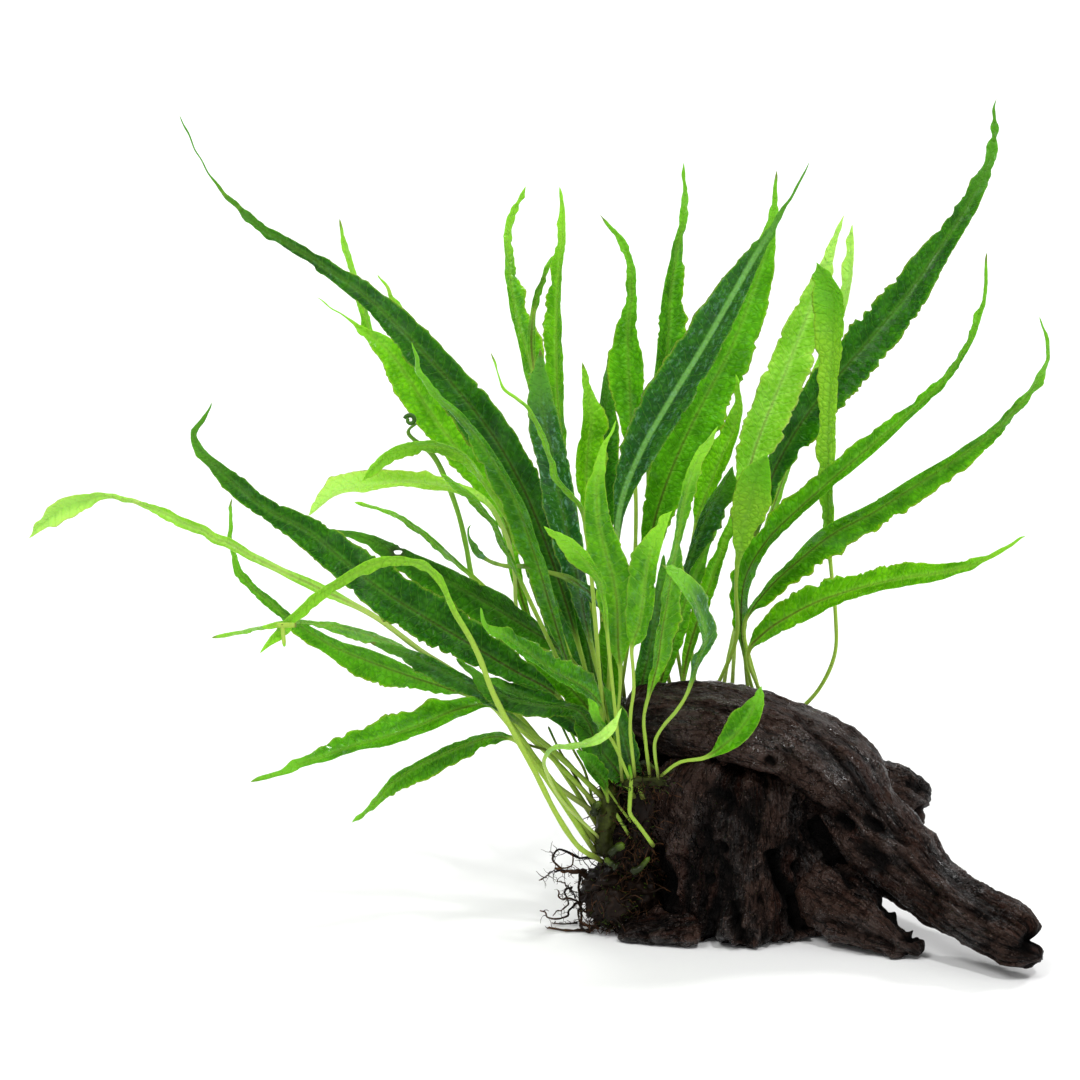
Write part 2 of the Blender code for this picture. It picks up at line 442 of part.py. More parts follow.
def cut_at_floor(mesh):
    """Cuts off what is below the floor and closes the cut with a flat face."""
    form = bmesh.new()
    form.from_mesh(mesh)
    if min(v.co.z for v in form.verts) < 0.0:
        everything = form.verts[:] + form.edges[:] + form.faces[:]
        cut = bmesh.ops.bisect_plane(form, geom=everything, dist=1e-6, plane_co=(0, 0, 0),
                                     plane_no=(0, 0, -1), clear_outer=True)
        rim = [e for e in cut["geom_cut"] if isinstance(e, bmesh.types.BMEdge)]
        bmesh.ops.contextual_create(form, geom=rim)
        bmesh.ops.triangulate(form, faces=form.faces[:])
        bmesh.ops.recalc_face_normals(form, faces=form.faces[:])
    form.to_mesh(mesh)
    form.free()


def swollen_cutter(source, cutters):
    """A copy of a piece with its skin moved out by the gap, for cutting its neighbours."""
    mesh = source.data.copy()
    form = bmesh.new()
    form.from_mesh(mesh)
    form.normal_update()
    for vert in form.verts:
        vert.co += vert.normal * TOUCH_GAP * CUTTER_MARGIN * MM
    form.to_mesh(mesh)
    form.free()
    cutter = bpy.data.objects.new(f"cutter_{source.name}", mesh)
    cutters.objects.link(cutter)
    cutter.hide_render = True
    cutter.display_type = "WIRE"
    return cutter


def cut_clear_of(piece, cutter):
    """Takes a swollen neighbour out of a piece."""
    cut = piece.modifiers.new(f"clear_of_{cutter.name}", "BOOLEAN")
    cut.operation = "DIFFERENCE"
    cut.solver = "EXACT"
    cut.object = cutter


def add_wood(group, cutters):
    """The driftwood, split at its forks, each later piece cut clear of the earlier ones."""
    wood = material_for("wet_wood", WOOD, 0.45)
    parts = (
        ("driftwood_trunk", TRUNK, 22, (1, 0, 0), ()),
        ("driftwood_top_slab", SLAB, 18, None, ("driftwood_trunk",)),
        ("driftwood_long_limb", LIMB, 14, None, ("driftwood_trunk", "driftwood_top_slab")),
        ("driftwood_short_limb", STUB, 12, None, ("driftwood_trunk", "driftwood_long_limb")),
        ("driftwood_back_plank", PLANK, 12, None,
         ("driftwood_trunk", "driftwood_top_slab", "driftwood_long_limb")),
        ("driftwood_left_foot", FOOT, 12, None, ("driftwood_trunk",)),
    )
    made = {}
    for name, stations, sides, breadth_axis, neighbours in parts:
        mesh = loft_mesh(name, wood_rings(stations, sides, breadth_axis))
        cut_at_floor(mesh)
        made[name] = add_object(name, mesh, wood, group)
        for neighbour in neighbours:
            cut_clear_of(made[name], swollen_cutter(made[neighbour], cutters))
    return made


# Lumps of felted roots: middle and half sizes along x, y and z.
ROOT_LUMPS = {
    "root_mass": ((-27, -4, 9.5), (6.8, 8.5, 7.0)),
    "root_mat": ((-18, -8, 28.5), (4.6, 8, 10)),
}


def add_root_lumps(group):
    """The felted roots at the foot of the lower stalks and between them and the wood."""
    felt = material_for("root_felt", ROOT_BROWN, 0.9)
    made = {}
    for name, (middle, half) in ROOT_LUMPS.items():
        form = bmesh.new()
        bmesh.ops.create_icosphere(form, subdivisions=2, radius=1.0)
        for vert in form.verts:
            x, y, z = vert.co
            lump = 1.0 + 0.08 * sin(5 * x + 2) * sin(4 * y + 1) + 0.06 * sin(7 * z)
            vert.co = Vector(m + lump * h * c for m, h, c in zip(middle, half, vert.co)) * MM
        mesh = bpy.data.meshes.new(name)
        form.to_mesh(mesh)
        form.free()
        made[name] = add_object(name, mesh, felt, group)
    return made


def build():
    """Builds the whole object in its own collection."""
    clear_scene()
    group = collection_named(COLLECTION)
    cutters = collection_named("cutters")
    wood = add_wood(group, cutters)
    for roots in add_root_lumps(group).values():
        for name in ("driftwood_trunk", "driftwood_left_foot"):
            cut_clear_of(roots, swollen_cutter(wood[name], cutters))
    add_rhizomes(group)
    add_fronds(group)


build()
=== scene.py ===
"""The looks of a java fern grown on driftwood: fine fronds, grooved wood, roots and moss."""

import json
from math import cos, pi, radians, sin
from types import SimpleNamespace

import bpy
import numpy as np
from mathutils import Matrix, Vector


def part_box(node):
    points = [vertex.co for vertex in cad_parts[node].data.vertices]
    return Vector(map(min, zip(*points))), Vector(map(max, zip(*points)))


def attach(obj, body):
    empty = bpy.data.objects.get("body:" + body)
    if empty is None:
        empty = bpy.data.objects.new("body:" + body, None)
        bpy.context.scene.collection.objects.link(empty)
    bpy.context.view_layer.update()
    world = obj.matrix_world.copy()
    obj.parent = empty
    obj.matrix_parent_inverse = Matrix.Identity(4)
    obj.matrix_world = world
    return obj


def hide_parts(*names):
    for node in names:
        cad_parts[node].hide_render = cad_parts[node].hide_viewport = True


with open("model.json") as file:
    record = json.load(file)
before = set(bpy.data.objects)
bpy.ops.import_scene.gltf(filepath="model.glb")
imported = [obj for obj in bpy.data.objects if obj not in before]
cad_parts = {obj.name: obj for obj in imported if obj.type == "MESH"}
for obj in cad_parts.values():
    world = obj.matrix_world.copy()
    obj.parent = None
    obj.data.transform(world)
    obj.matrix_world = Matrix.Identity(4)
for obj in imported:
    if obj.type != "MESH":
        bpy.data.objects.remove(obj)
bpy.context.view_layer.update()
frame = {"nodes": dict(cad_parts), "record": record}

MM = 0.001
BODY = "root"

# The eye looks at the middle of the plant from in front and a little above.
VIEW_LEAN = radians(10.0)
EYE_DISTANCE = 0.750
VIEW_CENTRE = np.array([-0.045, 0.0, 0.0986])
SENSOR_WIDTH = 36.0
FOCAL_LENGTH = 100.0

RHIZOMES = ("rhizome_left", "rhizome_back", "rhizome_front")


# ---------------------------------------------------------------- numbers and lines

def lattice_value(ix, iy, iz, seed):
    """A fixed value from -1 to 1 for each whole-number point, from mixed integer products."""
    mix = (ix * 374761393 + iy * 668265263 + iz * 1440662683 + seed * 1274126177) & 0xFFFFFFFF
    mix = ((mix ^ (mix >> 13)) * 1274126177) & 0xFFFFFFFF
    return ((mix ^ (mix >> 16)) & 0xFFFF) / 32767.5 - 1.0


def noise(x, y=0.0, z=0.0, seed=0):
    """Smooth noise: lattice values blended across each unit cell with an S-shaped weight."""
    x, y, z = np.broadcast_arrays(*(np.asarray(v, float) for v in (x, y, z)))
    cell = [np.floor(v).astype(np.int64) for v in (x, y, z)]
    part = [v - c for v, c in zip((x, y, z), cell)]
    wx, wy, wz = (p * p * (3 - 2 * p) for p in part)
    total = np.zeros_like(x)
    for dx in (0, 1):
        for dy in (0, 1):
            for dz in (0, 1):
                weight = (wx if dx else 1 - wx) * (wy if dy else 1 - wy) * (wz if dz else 1 - wz)
                total += weight * lattice_value(cell[0] + dx, cell[1] + dy, cell[2] + dz, seed)
    return total


def smooth_step(low, high, value):
    """0 below low, 1 above high, and an S-shaped rise between."""
    t = np.clip((value - low) / (high - low), 0, 1)
    return t * t * (3 - 2 * t)


def stacked(*parts):
    """Grids of numbers, each spread to the same size, as one grid of rows."""
    return np.stack(np.broadcast_arrays(*parts), axis=-1)


def lengths_along(points):
    """The distance along a line to each of its points."""
    steps = np.linalg.norm(np.diff(points, axis=0), axis=1)
    return np.concatenate([[0.0], np.cumsum(steps)])


def curve_through(values, count, closed=False):
    """Evenly spaced rows of the Catmull-Rom curve through the given rows."""
    values = np.asarray(values, float)
    rows = len(values)
    place = np.arange(count) * (rows / count) if closed else np.linspace(0, rows - 1, count)
    start = np.floor(place).astype(int)
    if not closed:
        start = np.minimum(start, rows - 2)
    t = (place - start).reshape(-1, *([1] * (values.ndim - 1)))
    if closed:
        a, b, c, d = (values[(start + k) % rows] for k in (-1, 0, 1, 2))
    else:
        padded = np.concatenate([[2 * values[0] - values[1]], values, [2 * values[-1] - values[-2]]])
        a, b, c, d = (padded[start + k] for k in (0, 1, 2, 3))
    return 0.5 * (2 * b + (c - a) * t + (2 * a - 5 * b + 4 * c - d) * t**2
                  + (3 * b - a - 3 * c + d) * t**3)


def even_curve(points, count):
    """The same curve with its rows at equal distances along it."""
    fine = curve_through(points, 12 * len(points))
    along = lengths_along(fine[:, :3])
    wanted = np.linspace(0, along[-1], count)
    return np.column_stack([np.interp(wanted, along, fine[:, k]) for k in range(fine.shape[1])])


def unit(vectors):
    """Each row at length one."""
    return vectors / np.maximum(np.linalg.norm(vectors, axis=-1, keepdims=True), 1e-12)


def carried_frames(line, first_side):
    """A side and a face direction at each point, turned as little as the line allows."""
    ahead = unit(np.gradient(line, axis=0))
    sides = np.empty_like(ahead)
    side = np.asarray(first_side, float)
    for i, forward in enumerate(ahead):
        side = unit(side - forward * side.dot(forward))
        sides[i] = side
    return sides, np.cross(sides, ahead)


def turned(side, face, angle):
    """Two square directions, turned about the line that they are square to."""
    return side * np.cos(angle) + face * np.sin(angle), face * np.cos(angle) - side * np.sin(angle)


# ---------------------------------------------------------------- meshes

def closed_grid(rings):
    """Corners and faces of a tube through the rings, with a fan to a middle point at each end."""
    count, around = rings.shape[:2]
    ends = rings[[0, -1]].mean(axis=1)
    corners = np.vstack([rings.reshape(-1, 3), ends])
    row = np.arange(count - 1)[:, None] * around
    step = np.arange(around)
    after = (step + 1) % around
    quads = np.stack([row + step, row + after, row + around + after, row + around + step], axis=-1)
    low, high = count * around, count * around + 1
    last = (count - 1) * around
    fans = np.vstack([
        np.column_stack([after, step, np.full(around, low)]),
        np.column_stack([last + step, last + after, np.full(around, high)]),
    ])
    return corners, quads.reshape(-1, 4), fans


def mesh_from(name, corners, quads, fans, marks=None):
    """A smooth mesh from whole arrays, with one vector mark per corner for each named mark."""
    mesh = bpy.data.meshes.new(name)
    loops = np.concatenate([quads.ravel(), fans.ravel()])
    sizes = np.concatenate([np.full(len(quads), 4), np.full(len(fans), 3)])
    mesh.vertices.add(len(corners))
    mesh.vertices.foreach_set("co", (corners * MM).ravel())
    mesh.loops.add(len(loops))
    mesh.loops.foreach_set("vertex_index", loops)
    mesh.polygons.add(len(sizes))
    mesh.polygons.foreach_set("loop_start", np.concatenate([[0], np.cumsum(sizes)[:-1]]))
    mesh.polygons.foreach_set("use_smooth", np.ones(len(sizes), bool))
    mesh.update(calc_edges=True)
    for mark, values in (marks or {}).items():
        layer = mesh.attributes.new(mark, "FLOAT_VECTOR", "POINT")
        layer.data.foreach_set("vector", values.astype(np.float32).ravel())
    mesh.validate()
    return mesh


def turned_outward(corners, quads, fans):
    """The same faces, reversed if the closed shape's volume comes out negative."""
    triangles = np.vstack([quads[:, [0, 1, 2]], quads[:, [0, 2, 3]], fans])
    a, b, c = (corners[triangles[:, k]] for k in range(3))
    if np.einsum("ij,ij->", a, np.cross(b, c)) < 0:
        return quads[:, ::-1], fans[:, ::-1]
    return quads, fans


def add_piece(name, rings, marks, material, nodes):
    """A closed tube of rings as one named piece that stands for its solids."""
    corners, quads, fans = closed_grid(rings)
    quads, fans = turned_outward(corners, quads, fans)
    full = {}
    for mark, values in marks.items():
        flat = values.reshape(-1, 3)
        full[mark] = np.vstack([flat, values[0].mean(axis=0), values[-1].mean(axis=0)])
    return place_piece(name, mesh_from(name, corners, quads, fans, full), material, nodes)


def place_piece(name, mesh, material, nodes=()):
    """Names a mesh's object, gives it its finish and ties it to the body."""
    mesh.materials.append(material)
    piece = bpy.data.objects.new(name, mesh)
    bpy.context.scene.collection.objects.link(piece)
    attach(piece, BODY)
    if nodes:
        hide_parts(*nodes)
    return piece


# ---------------------------------------------------------------- reading the solids

def corners_and_faces(node):
    """A solid's corners in millimetres, each once, and its triangles."""
    mesh = frame["nodes"][node].data
    places = np.empty(len(mesh.vertices) * 3)
    mesh.vertices.foreach_get("co", places)
    loops = np.empty(len(mesh.loops), int)
    mesh.loops.foreach_get("vertex_index", loops)
    corners, which = np.unique(np.round(places.reshape(-1, 3) / MM, 3), axis=0, return_inverse=True)
    return corners, which.ravel()[loops].reshape(-1, 3)


def rings_of(node, near):
    """A lofted solid's rings of four corners, from the end that is nearer the given points.

    Two triangles that share an edge hold four corners. From the four corners of an end, each step
    out along the edges reaches just four more.
    """
    corners, faces = corners_and_faces(node)
    count = len(corners)
    joined = np.zeros((count, count), bool)
    joined[faces, np.roll(faces, 1, axis=1)] = True
    joined |= joined.T
    holds = np.zeros((len(faces), count), int)
    holds[np.arange(len(faces))[:, None], faces] = 1
    first, second = np.nonzero(np.triu(holds @ holds.T == 2, 1))
    reached = (holds[first] + holds[second]) > 0
    level = np.where(reached, 0, -1)
    fits = np.ones(len(level), bool)
    for step in range(1, count // 4):
        spread = (reached @ joined) & ~reached
        fits &= spread.sum(axis=1) == 4
        level[spread] = step
        reached |= spread
    level = level[fits]
    ends = np.array([corners[row == 0].mean(axis=0) for row in level])
    gaps = np.linalg.norm(ends[:, None] - near[None], axis=2).min(axis=1)
    order = np.argsort(level[np.argmin(gaps)], kind="stable")
    return corners[order].reshape(-1, 4, 3)


def frond_stations(node, near):
    """Each station's midrib point, side and face direction, half width and margin rise."""
    rings = rings_of(node, near)
    spans = np.linalg.norm(rings[:, :, None] - rings[:, None], axis=3)
    widest = spans.reshape(len(rings), -1).argmax(axis=1)
    left, right = widest // 4, widest % 4
    rows = np.arange(len(rings))
    others = np.array([[k for k in range(4) if k not in pair] for pair in zip(left, right)])
    side = rings[rows, right] - rings[rows, left]
    thick = rings[rows, others[:, 0]] - rings[rows, others[:, 1]]
    for i in range(1, len(rings)):
        side[i] *= 1 if side[i].dot(side[i - 1]) > 0 else -1
    half = 0.5 * np.linalg.norm(side, axis=1)
    edges = 0.5 * (rings[rows, left] + rings[rows, right])
    middle = rings[rows[:, None], others].mean(axis=1)
    core = half.argmax()
    thick[core] *= 1 if thick[core].dot(edges[core] - middle[core]) > 0 else -1
    for i in [*range(core + 1, len(rings)), *range(core - 1, -1, -1)]:
        beside = i - 1 if i > core else i + 1
        thick[i] *= 1 if thick[i].dot(thick[beside]) > 0 else -1
    face = unit(thick)
    rise = np.einsum("ij,ij->i", edges - middle, face)
    return middle, unit(side), face, half, np.maximum(rise, 0.0)


# ---------------------------------------------------------------- the picture plane

BOARD_CENTRE = np.array([-45.0, 102.5])  # where the eye's own line meets the plane, in mm
AHEAD = np.array([0.0, cos(VIEW_LEAN), -sin(VIEW_LEAN)])
EYE_MM = VIEW_CENTRE / MM - EYE_DISTANCE / MM * AHEAD
UPWARD = np.array([0.0, sin(VIEW_LEAN), cos(VIEW_LEAN)])
RIGHT = np.array([1.0, 0.0, 0.0])


def from_board(drawn):
    """The points at given depths behind places on the picture plane: rows of across, up, depth."""
    drawn = np.asarray(drawn, float)
    over, up = (drawn[..., :2] - BOARD_CENTRE).T
    ray = EYE_DISTANCE / MM * AHEAD + over.T[..., None] * RIGHT + up.T[..., None] * UPWARD
    return EYE_MM + ray * ((drawn[..., 2] - EYE_MM[1]) / ray[..., 1])[..., None]


def on_board(points):
    """Where the eye sees points on its picture plane, as across and up."""
    gaze = points - EYE_MM
    scale = EYE_DISTANCE / MM / (gaze @ AHEAD)
    return np.stack([gaze @ RIGHT * scale, gaze @ UPWARD * scale], axis=-1) + BOARD_CENTRE


# ---------------------------------------------------------------- fronds

ACROSS = np.array([-1, -0.9, -0.74, -0.52, -0.3, -0.13, -0.05, 0,
                   0.05, 0.13, 0.3, 0.52, 0.74, 0.9, 1])
STALK_STEP, BLADE_STEP = 2.2, 0.70  # from ring to ring, in mm
STALK_FULL, BLADE_FULL = 1.7, 4.6  # widths in mm: all stalk below, all blade above
STALK_RADIUS = 0.52
STOUT_STALKS = {"frond_front": 0.42, "frond_low": 0.68, "frond_left_curl": 0.68}
# The least and the most half width of a blade that is folded or rolled to a strip.
FOLDED_HALF = {"frond_right_hooked": (2.9, 4.5), "frond_low_arching_young": (0.0, 1.9)}
NOT_FOLDED = (0, 20)
SHEET_HALF = 0.15  # half a blade's thickness between its veins
LEAST_HALF = 0.12  # no frond gets narrower than this before its tip
NO_TRAITS = (0, 0, 0, 0)
REACH_INTO_STEM = 2.4  # how far a stalk's base is carried into the creeping stem


def spaced_rows(table):
    """The curve's rows, close together over the blade and the tip and wide apart on the stalk."""
    samples, fewest = 300, 40
    fine = even_curve(table, samples)
    run = np.linspace(0, 1, samples)
    close = np.maximum(smooth_step(1.3, 2.2, 2 * fine[:, 9]), smooth_step(0.40, 0.50, run))
    step = STALK_STEP + (BLADE_STEP - STALK_STEP) * close
    rings = np.concatenate([[0.0], np.cumsum(np.diff(lengths_along(fine[:, :3])) / step[1:])])
    wanted = np.interp(np.linspace(0, rings[-1], max(fewest, int(rings[-1]))), rings, run)
    return np.column_stack([np.interp(wanted, run, column) for column in fine.T])


def frond_line(stations, folded, drift):
    """A frond's midrib line, directions, half widths, margin rise, lengths and blade share.

    The blade share is 0 where the frond is all stalk and 1 where it is all blade. A long thin
    tail stays a narrow sheet with a ragged width.
    """
    table = np.column_stack(stations)
    base = table[0].copy()
    base[:3] -= REACH_INTO_STEM * unit(table[1, :3] - table[0, :3])
    fine = spaced_rows(np.vstack([base, table]))
    line, side, face = fine[:, :3], unit(fine[:, 3:6]), unit(fine[:, 6:9])
    half, rise = np.maximum(fine[:, 9], LEAST_HALF), np.maximum(fine[:, 10], 0.0)
    s = lengths_along(line)
    u = s / s[-1]
    folds = smooth_step(0.40, 0.55, u) * (1 - smooth_step(0.97, 1.0, u))
    half = np.minimum(np.maximum(half, folded[0] * folds), folded[1])
    blade = smooth_step(STALK_FULL, BLADE_FULL, 2 * half) * smooth_step(0.0, 0.12, u)
    tail = smooth_step(0.45, 0.75, u) * (1 - smooth_step(1.2, 2.8, half)) * (half.max() > 1.1)
    ragged = tail * (0.55 + 0.45 * noise(s / 14.0, drift + 4))
    half = half * (1 + ragged * (0.34 * noise(s / 2.6, drift) + 0.26 * noise(s / 1.1, drift + 9)))
    blade = np.maximum(blade, tail * smooth_step(0.4, 1.1, half))
    line = line + (tail * 0.45 * noise(s / 3.4, drift + 20))[:, None] * side
    return line, side, face, half, rise, s, blade


def blade_faces(s, u, half, rise, seed):
    """Where a blade's two faces lie: how far across, and how high above and below.

    Across runs v from -1 to 1. The height is a channel that grows with the 1.5th power of |v|,
    plus long waves and short crinkles that grow toward the margins, plus rows of blisters
    between the veins, less a groove over the midrib, with a round rib under it.
    """
    v = ACROSS[None]
    margin = np.abs(v)
    hand = np.where(v < 0, 0.0, 9.7)
    long_wave = noise(s / 5.6, hand + seed, 1.0)
    mid_wave = noise(s / 2.3, hand + seed, 5.0)
    crinkle = noise(s / 1.15, hand + seed, 9.0) + 0.5 * noise(s / 0.6, hand + seed, 12.0)
    crinkle *= 0.75 + 0.5 * noise(s / 9.0, hand + seed, 15.0)
    tooth = noise(s / 0.75, hand + seed, 21.0) * smooth_step(0.1, 0.6, noise(s / 5.0, hand, seed))
    bite = smooth_step(0.55, 0.8, noise(s / 1.9, hand + seed, 33.0))
    spread = 1 + (0.09 * long_wave + 0.07 * mid_wave + 0.06 * crinkle) * margin
    spread += (0.08 * tooth - 0.12 * bite) * smooth_step(0.75, 1.0, margin)
    across = v * half[:, None] * spread

    vein_run = s - 0.75 * np.abs(across)
    cells = np.cos(2 * pi * vein_run / 2.5 + 1.4 * noise(s / 3.0, across / 3.0, seed))
    cells *= np.cos(2 * pi * np.abs(across) / 2.7 + 1.6 + 1.2 * noise(s / 2.4, seed, 2.0))
    blister = 0.15 * cells * smooth_step(0.08, 0.3, margin) * (1 - smooth_step(0.8, 1.0, margin))
    lively = np.sqrt(np.minimum(half, 5.0) / 5.0)[:, None]
    height = rise[:, None] * margin**1.5
    height = height + lively * (0.95 * long_wave * margin**2 + 0.55 * mid_wave * margin**2.5)
    height = height + lively * 0.42 * crinkle * margin**3 + lively * blister
    groove = 0.14 * np.exp(-(across / 0.45) ** 2)
    rib_size = 0.22 + 0.34 * (1 - u)
    rib = rib_size * np.exp(-(across / (0.35 + 0.35 * rib_size)) ** 2)
    sheet = SHEET_HALF * (1 - 0.6 * margin**3)
    return across, height + sheet - groove, height - sheet - rib


def round_trip(above, below):
    """A ring's values: over the upper face and back along the under face."""
    return np.hstack([above, below[:, -2:0:-1]])


def frond_rings(stations, rng, traits=NO_TRAITS, hole=None, stout=STALK_RADIUS, folded=NOT_FOLDED):
    """A stalk that opens into a blade, as rings of points with marks for the finish.

    Along the midrib runs s, and u from 0 to 1. A ring is a circle where the frond is all stalk
    and a thin sheet where it is all blade. The two are blended by the blade share, and the rings
    close to a point at the tip.
    """
    drift = rng.random() * 80
    line, side, face, half, rise, s, blade = frond_line(stations, folded, drift)
    sway = radians(9) * noise(s / 22.0, rng.random() * 50, 3.0) * blade
    side, face = turned(side, face, sway[:, None])
    seed = rng.random() * 60
    s, u, share = s[:, None], (s / s[-1])[:, None], blade[:, None]
    across, above, below = blade_faces(s, u, half, rise, seed)

    v = ACROSS[None]
    tip = np.sqrt(np.clip((1 - u) / 0.02, 0.0, 1.0))
    slim = np.minimum(1.0, half / 0.65)[:, None] * (1 + 0.10 * noise(s / 3.0, seed, 4.0))
    turn = np.arccos(np.clip(-v, -1, 1))
    round_out = -np.cos(turn) * stout * slim
    round_up = np.sin(turn) * stout * slim
    sideways = round_out * (1 - share) + across * share
    above = round_up * (1 - share) + above * share
    below = -round_up * (1 - share) + below * share
    out = round_trip(sideways, sideways) * tip
    up = round_trip(above, below) * tip
    rings = line[:, None] + out[..., None] * side[:, None] + up[..., None] * face[:, None]

    browned, blue, fresh, pale_rib = traits
    if hole is not None:
        away = np.hypot(*np.moveaxis(on_board(rings) - np.array(hole[:2]), -1, 0))
        browned = np.maximum(browned, 1 - smooth_step(1.5, 2.8, away))
    under = round_trip(np.zeros(v.shape), np.ones(v.shape))
    marks = {
        "leaf_mm": stacked(s, out, seed),
        "leaf_place": stacked(u, round_trip(np.abs(v), np.abs(v)), share),
        "leaf_kind": stacked(under, float(pale_rib), rng.random()),
        "leaf_traits": stacked(browned, float(blue), float(fresh)),
    }
    return rings, {name: np.broadcast_to(mark, rings.shape).copy() for name, mark in marks.items()}


# ---------------------------------------------------------------- finishes

def new_group(name, inputs, outputs):
    """An empty shader group with named sockets; inputs map a name to its kind and default."""
    group = bpy.data.node_groups.new(name, "ShaderNodeTree")
    for label, (kind, default) in inputs.items():
        socket = group.interface.new_socket(label, in_out="INPUT", socket_type=f"NodeSocket{kind}")
        socket.default_value = default
    for label, kind in outputs.items():
        group.interface.new_socket(label, in_out="OUTPUT", socket_type=f"NodeSocket{kind}")
    return group


class Wiring:
    """Short calls that add nodes to one tree and join them."""

    def __init__(self, tree):
        self.tree = tree

    def add(self, kind, settings=None, **inputs):
        """A node with its settings and its inputs, each a value or a link."""
        node = self.tree.nodes.new(kind)
        for key, value in (settings or {}).items():
            setattr(node, key, value)
        return self.feed(node, **inputs)

    def feed(self, node, **inputs):
        """Fills a node's inputs; i0 is the first input, and _ stands for a space."""
        for key, value in inputs.items():
            by_number = key[0] == "i" and key[1:].isdigit()
            socket = node.inputs[int(key[1:]) if by_number else key.replace("_", " ")]
            if isinstance(value, bpy.types.NodeSocket):
                self.tree.links.new(value, socket)
            else:
                socket.default_value = value
        return node

    def math(self, operation, a, b=0.0, clamp=False):
        return self.add("ShaderNodeMath", {"operation": operation, "use_clamp": clamp},
                        i0=a, i1=b).outputs[0]

    def ramp(self, value, low, high, start=0.0, end=1.0):
        """start below low, end above high, with a smooth change between."""
        return self.add("ShaderNodeMapRange", {"interpolation_type": "SMOOTHSTEP"},
                        Value=value, i1=low, i2=high, i3=start, i4=end).outputs[0]

    def mix(self, share, a, b):
        """Colour a with a share of colour b over it."""
        return self.add("ShaderNodeMix", {"data_type": "RGBA"}, i0=share, i6=a, i7=b).outputs[2]

    def noise(self, vector, scale, detail=3.0, roughness=0.55):
        return self.add("ShaderNodeTexNoise", Vector=vector, Scale=scale, Detail=detail,
                        Roughness=roughness).outputs[0]

    def mark(self, name):
        """A named mark of the mesh, as a vector."""
        return self.add("ShaderNodeAttribute", {"attribute_name": name}).outputs["Vector"]

    def parts(self, vector):
        return self.add("ShaderNodeSeparateXYZ", Vector=vector).outputs

    def vector(self, x, y, z):
        return self.add("ShaderNodeCombineXYZ", X=x, Y=y, Z=z).outputs[0]


def rgba(colour):
    """The colour, opaque."""
    return (*colour, 1.0)


WATER_IOR = 1.33
SURFACE_OUTPUTS = {"Color": "Color", "Roughness": "Float", "Height": "Float", "Wet": "Float"}


def new_material(name):
    """A fresh material, its wiring and its main shader."""
    material = bpy.data.materials.new(name)
    material.use_nodes = True
    return material, Wiring(material.node_tree), material.node_tree.nodes["Principled BSDF"]


# Colours that come over a leaf's own tone.
FRESH_YELLOW = (0.320, 0.620, 0.040, 1)
# Painted shade: a dark blue-green laid over the blue fronds for the shade they lie in.
PAINTED_SHADE_BLUE = (0.010, 0.060, 0.018, 1)
PALE_MIDRIB = (0.200, 0.460, 0.110, 1)
# Painted reflection: pale blue-grey glints that stand for the wet film catching light.
PAINTED_WET_GLINT = (0.170, 0.360, 0.260, 1)
STALK_FRECKLE = (0.045, 0.022, 0.008, 1)
STALK_FOOT = (0.05, 0.035, 0.012, 1)
SCAR_BROWN = (0.06, 0.03, 0.008, 1)
DEAD_BROWN = (0.020, 0.016, 0.004, 1)
DRY_TIP = (0.12, 0.07, 0.02, 1)
SIDE_VEIN_GAP = 2.6  # from one side vein to the next, in mm
SIDE_VEIN_LEAN = 0.75


def leaf_pattern(w):
    """The marks of a blade and the patterns that its colour, wetness and height share.

    Side veins leave the midrib forward every few millimetres, and a net of cells between them
    stands up as blisters.
    """
    along, across, seed = w.parts(w.mark("leaf_mm"))
    place, edge, blade = w.parts(w.mark("leaf_place"))
    under, pale_rib, luck = w.parts(w.mark("leaf_kind"))
    browned, blue, fresh = w.parts(w.mark("leaf_traits"))
    off = w.math("ABSOLUTE", across)
    spot = w.vector(along, across, seed)
    bend = w.math("MULTIPLY", w.math("SUBTRACT", w.noise(spot, 0.35, 2), 0.5), 2.4)
    run = w.math("SUBTRACT", along, w.math("MULTIPLY", off, SIDE_VEIN_LEAN))
    run = w.math("DIVIDE", w.math("ADD", run, bend), SIDE_VEIN_GAP)
    wave = w.math("ABSOLUTE", w.math("SUBTRACT", w.math("FRACT", run), 0.5))
    cells = w.add("ShaderNodeTexVoronoi", {"feature": "DISTANCE_TO_EDGE"}, Vector=spot, Scale=0.62,
                  Randomness=0.85).outputs["Distance"]
    return SimpleNamespace(
        along=along, across=across, seed=seed, place=place, edge=edge, blade=blade, under=under,
        pale_rib=pale_rib, luck=luck, browned=browned, blue=blue, fresh=fresh, off=off, spot=spot,
        side_vein=w.ramp(wave, 0.0, 0.09, 1.0, 0.0), puff=w.ramp(cells, 0.0, 0.42),
        net=w.ramp(cells, 0.02, 0.16, 1.0, 0.0), fine=w.noise(spot, 2.2, 4),
        mottle=w.noise(w.vector(along, w.math("MULTIPLY", across, 2.0), seed), 0.16, 3),
    )


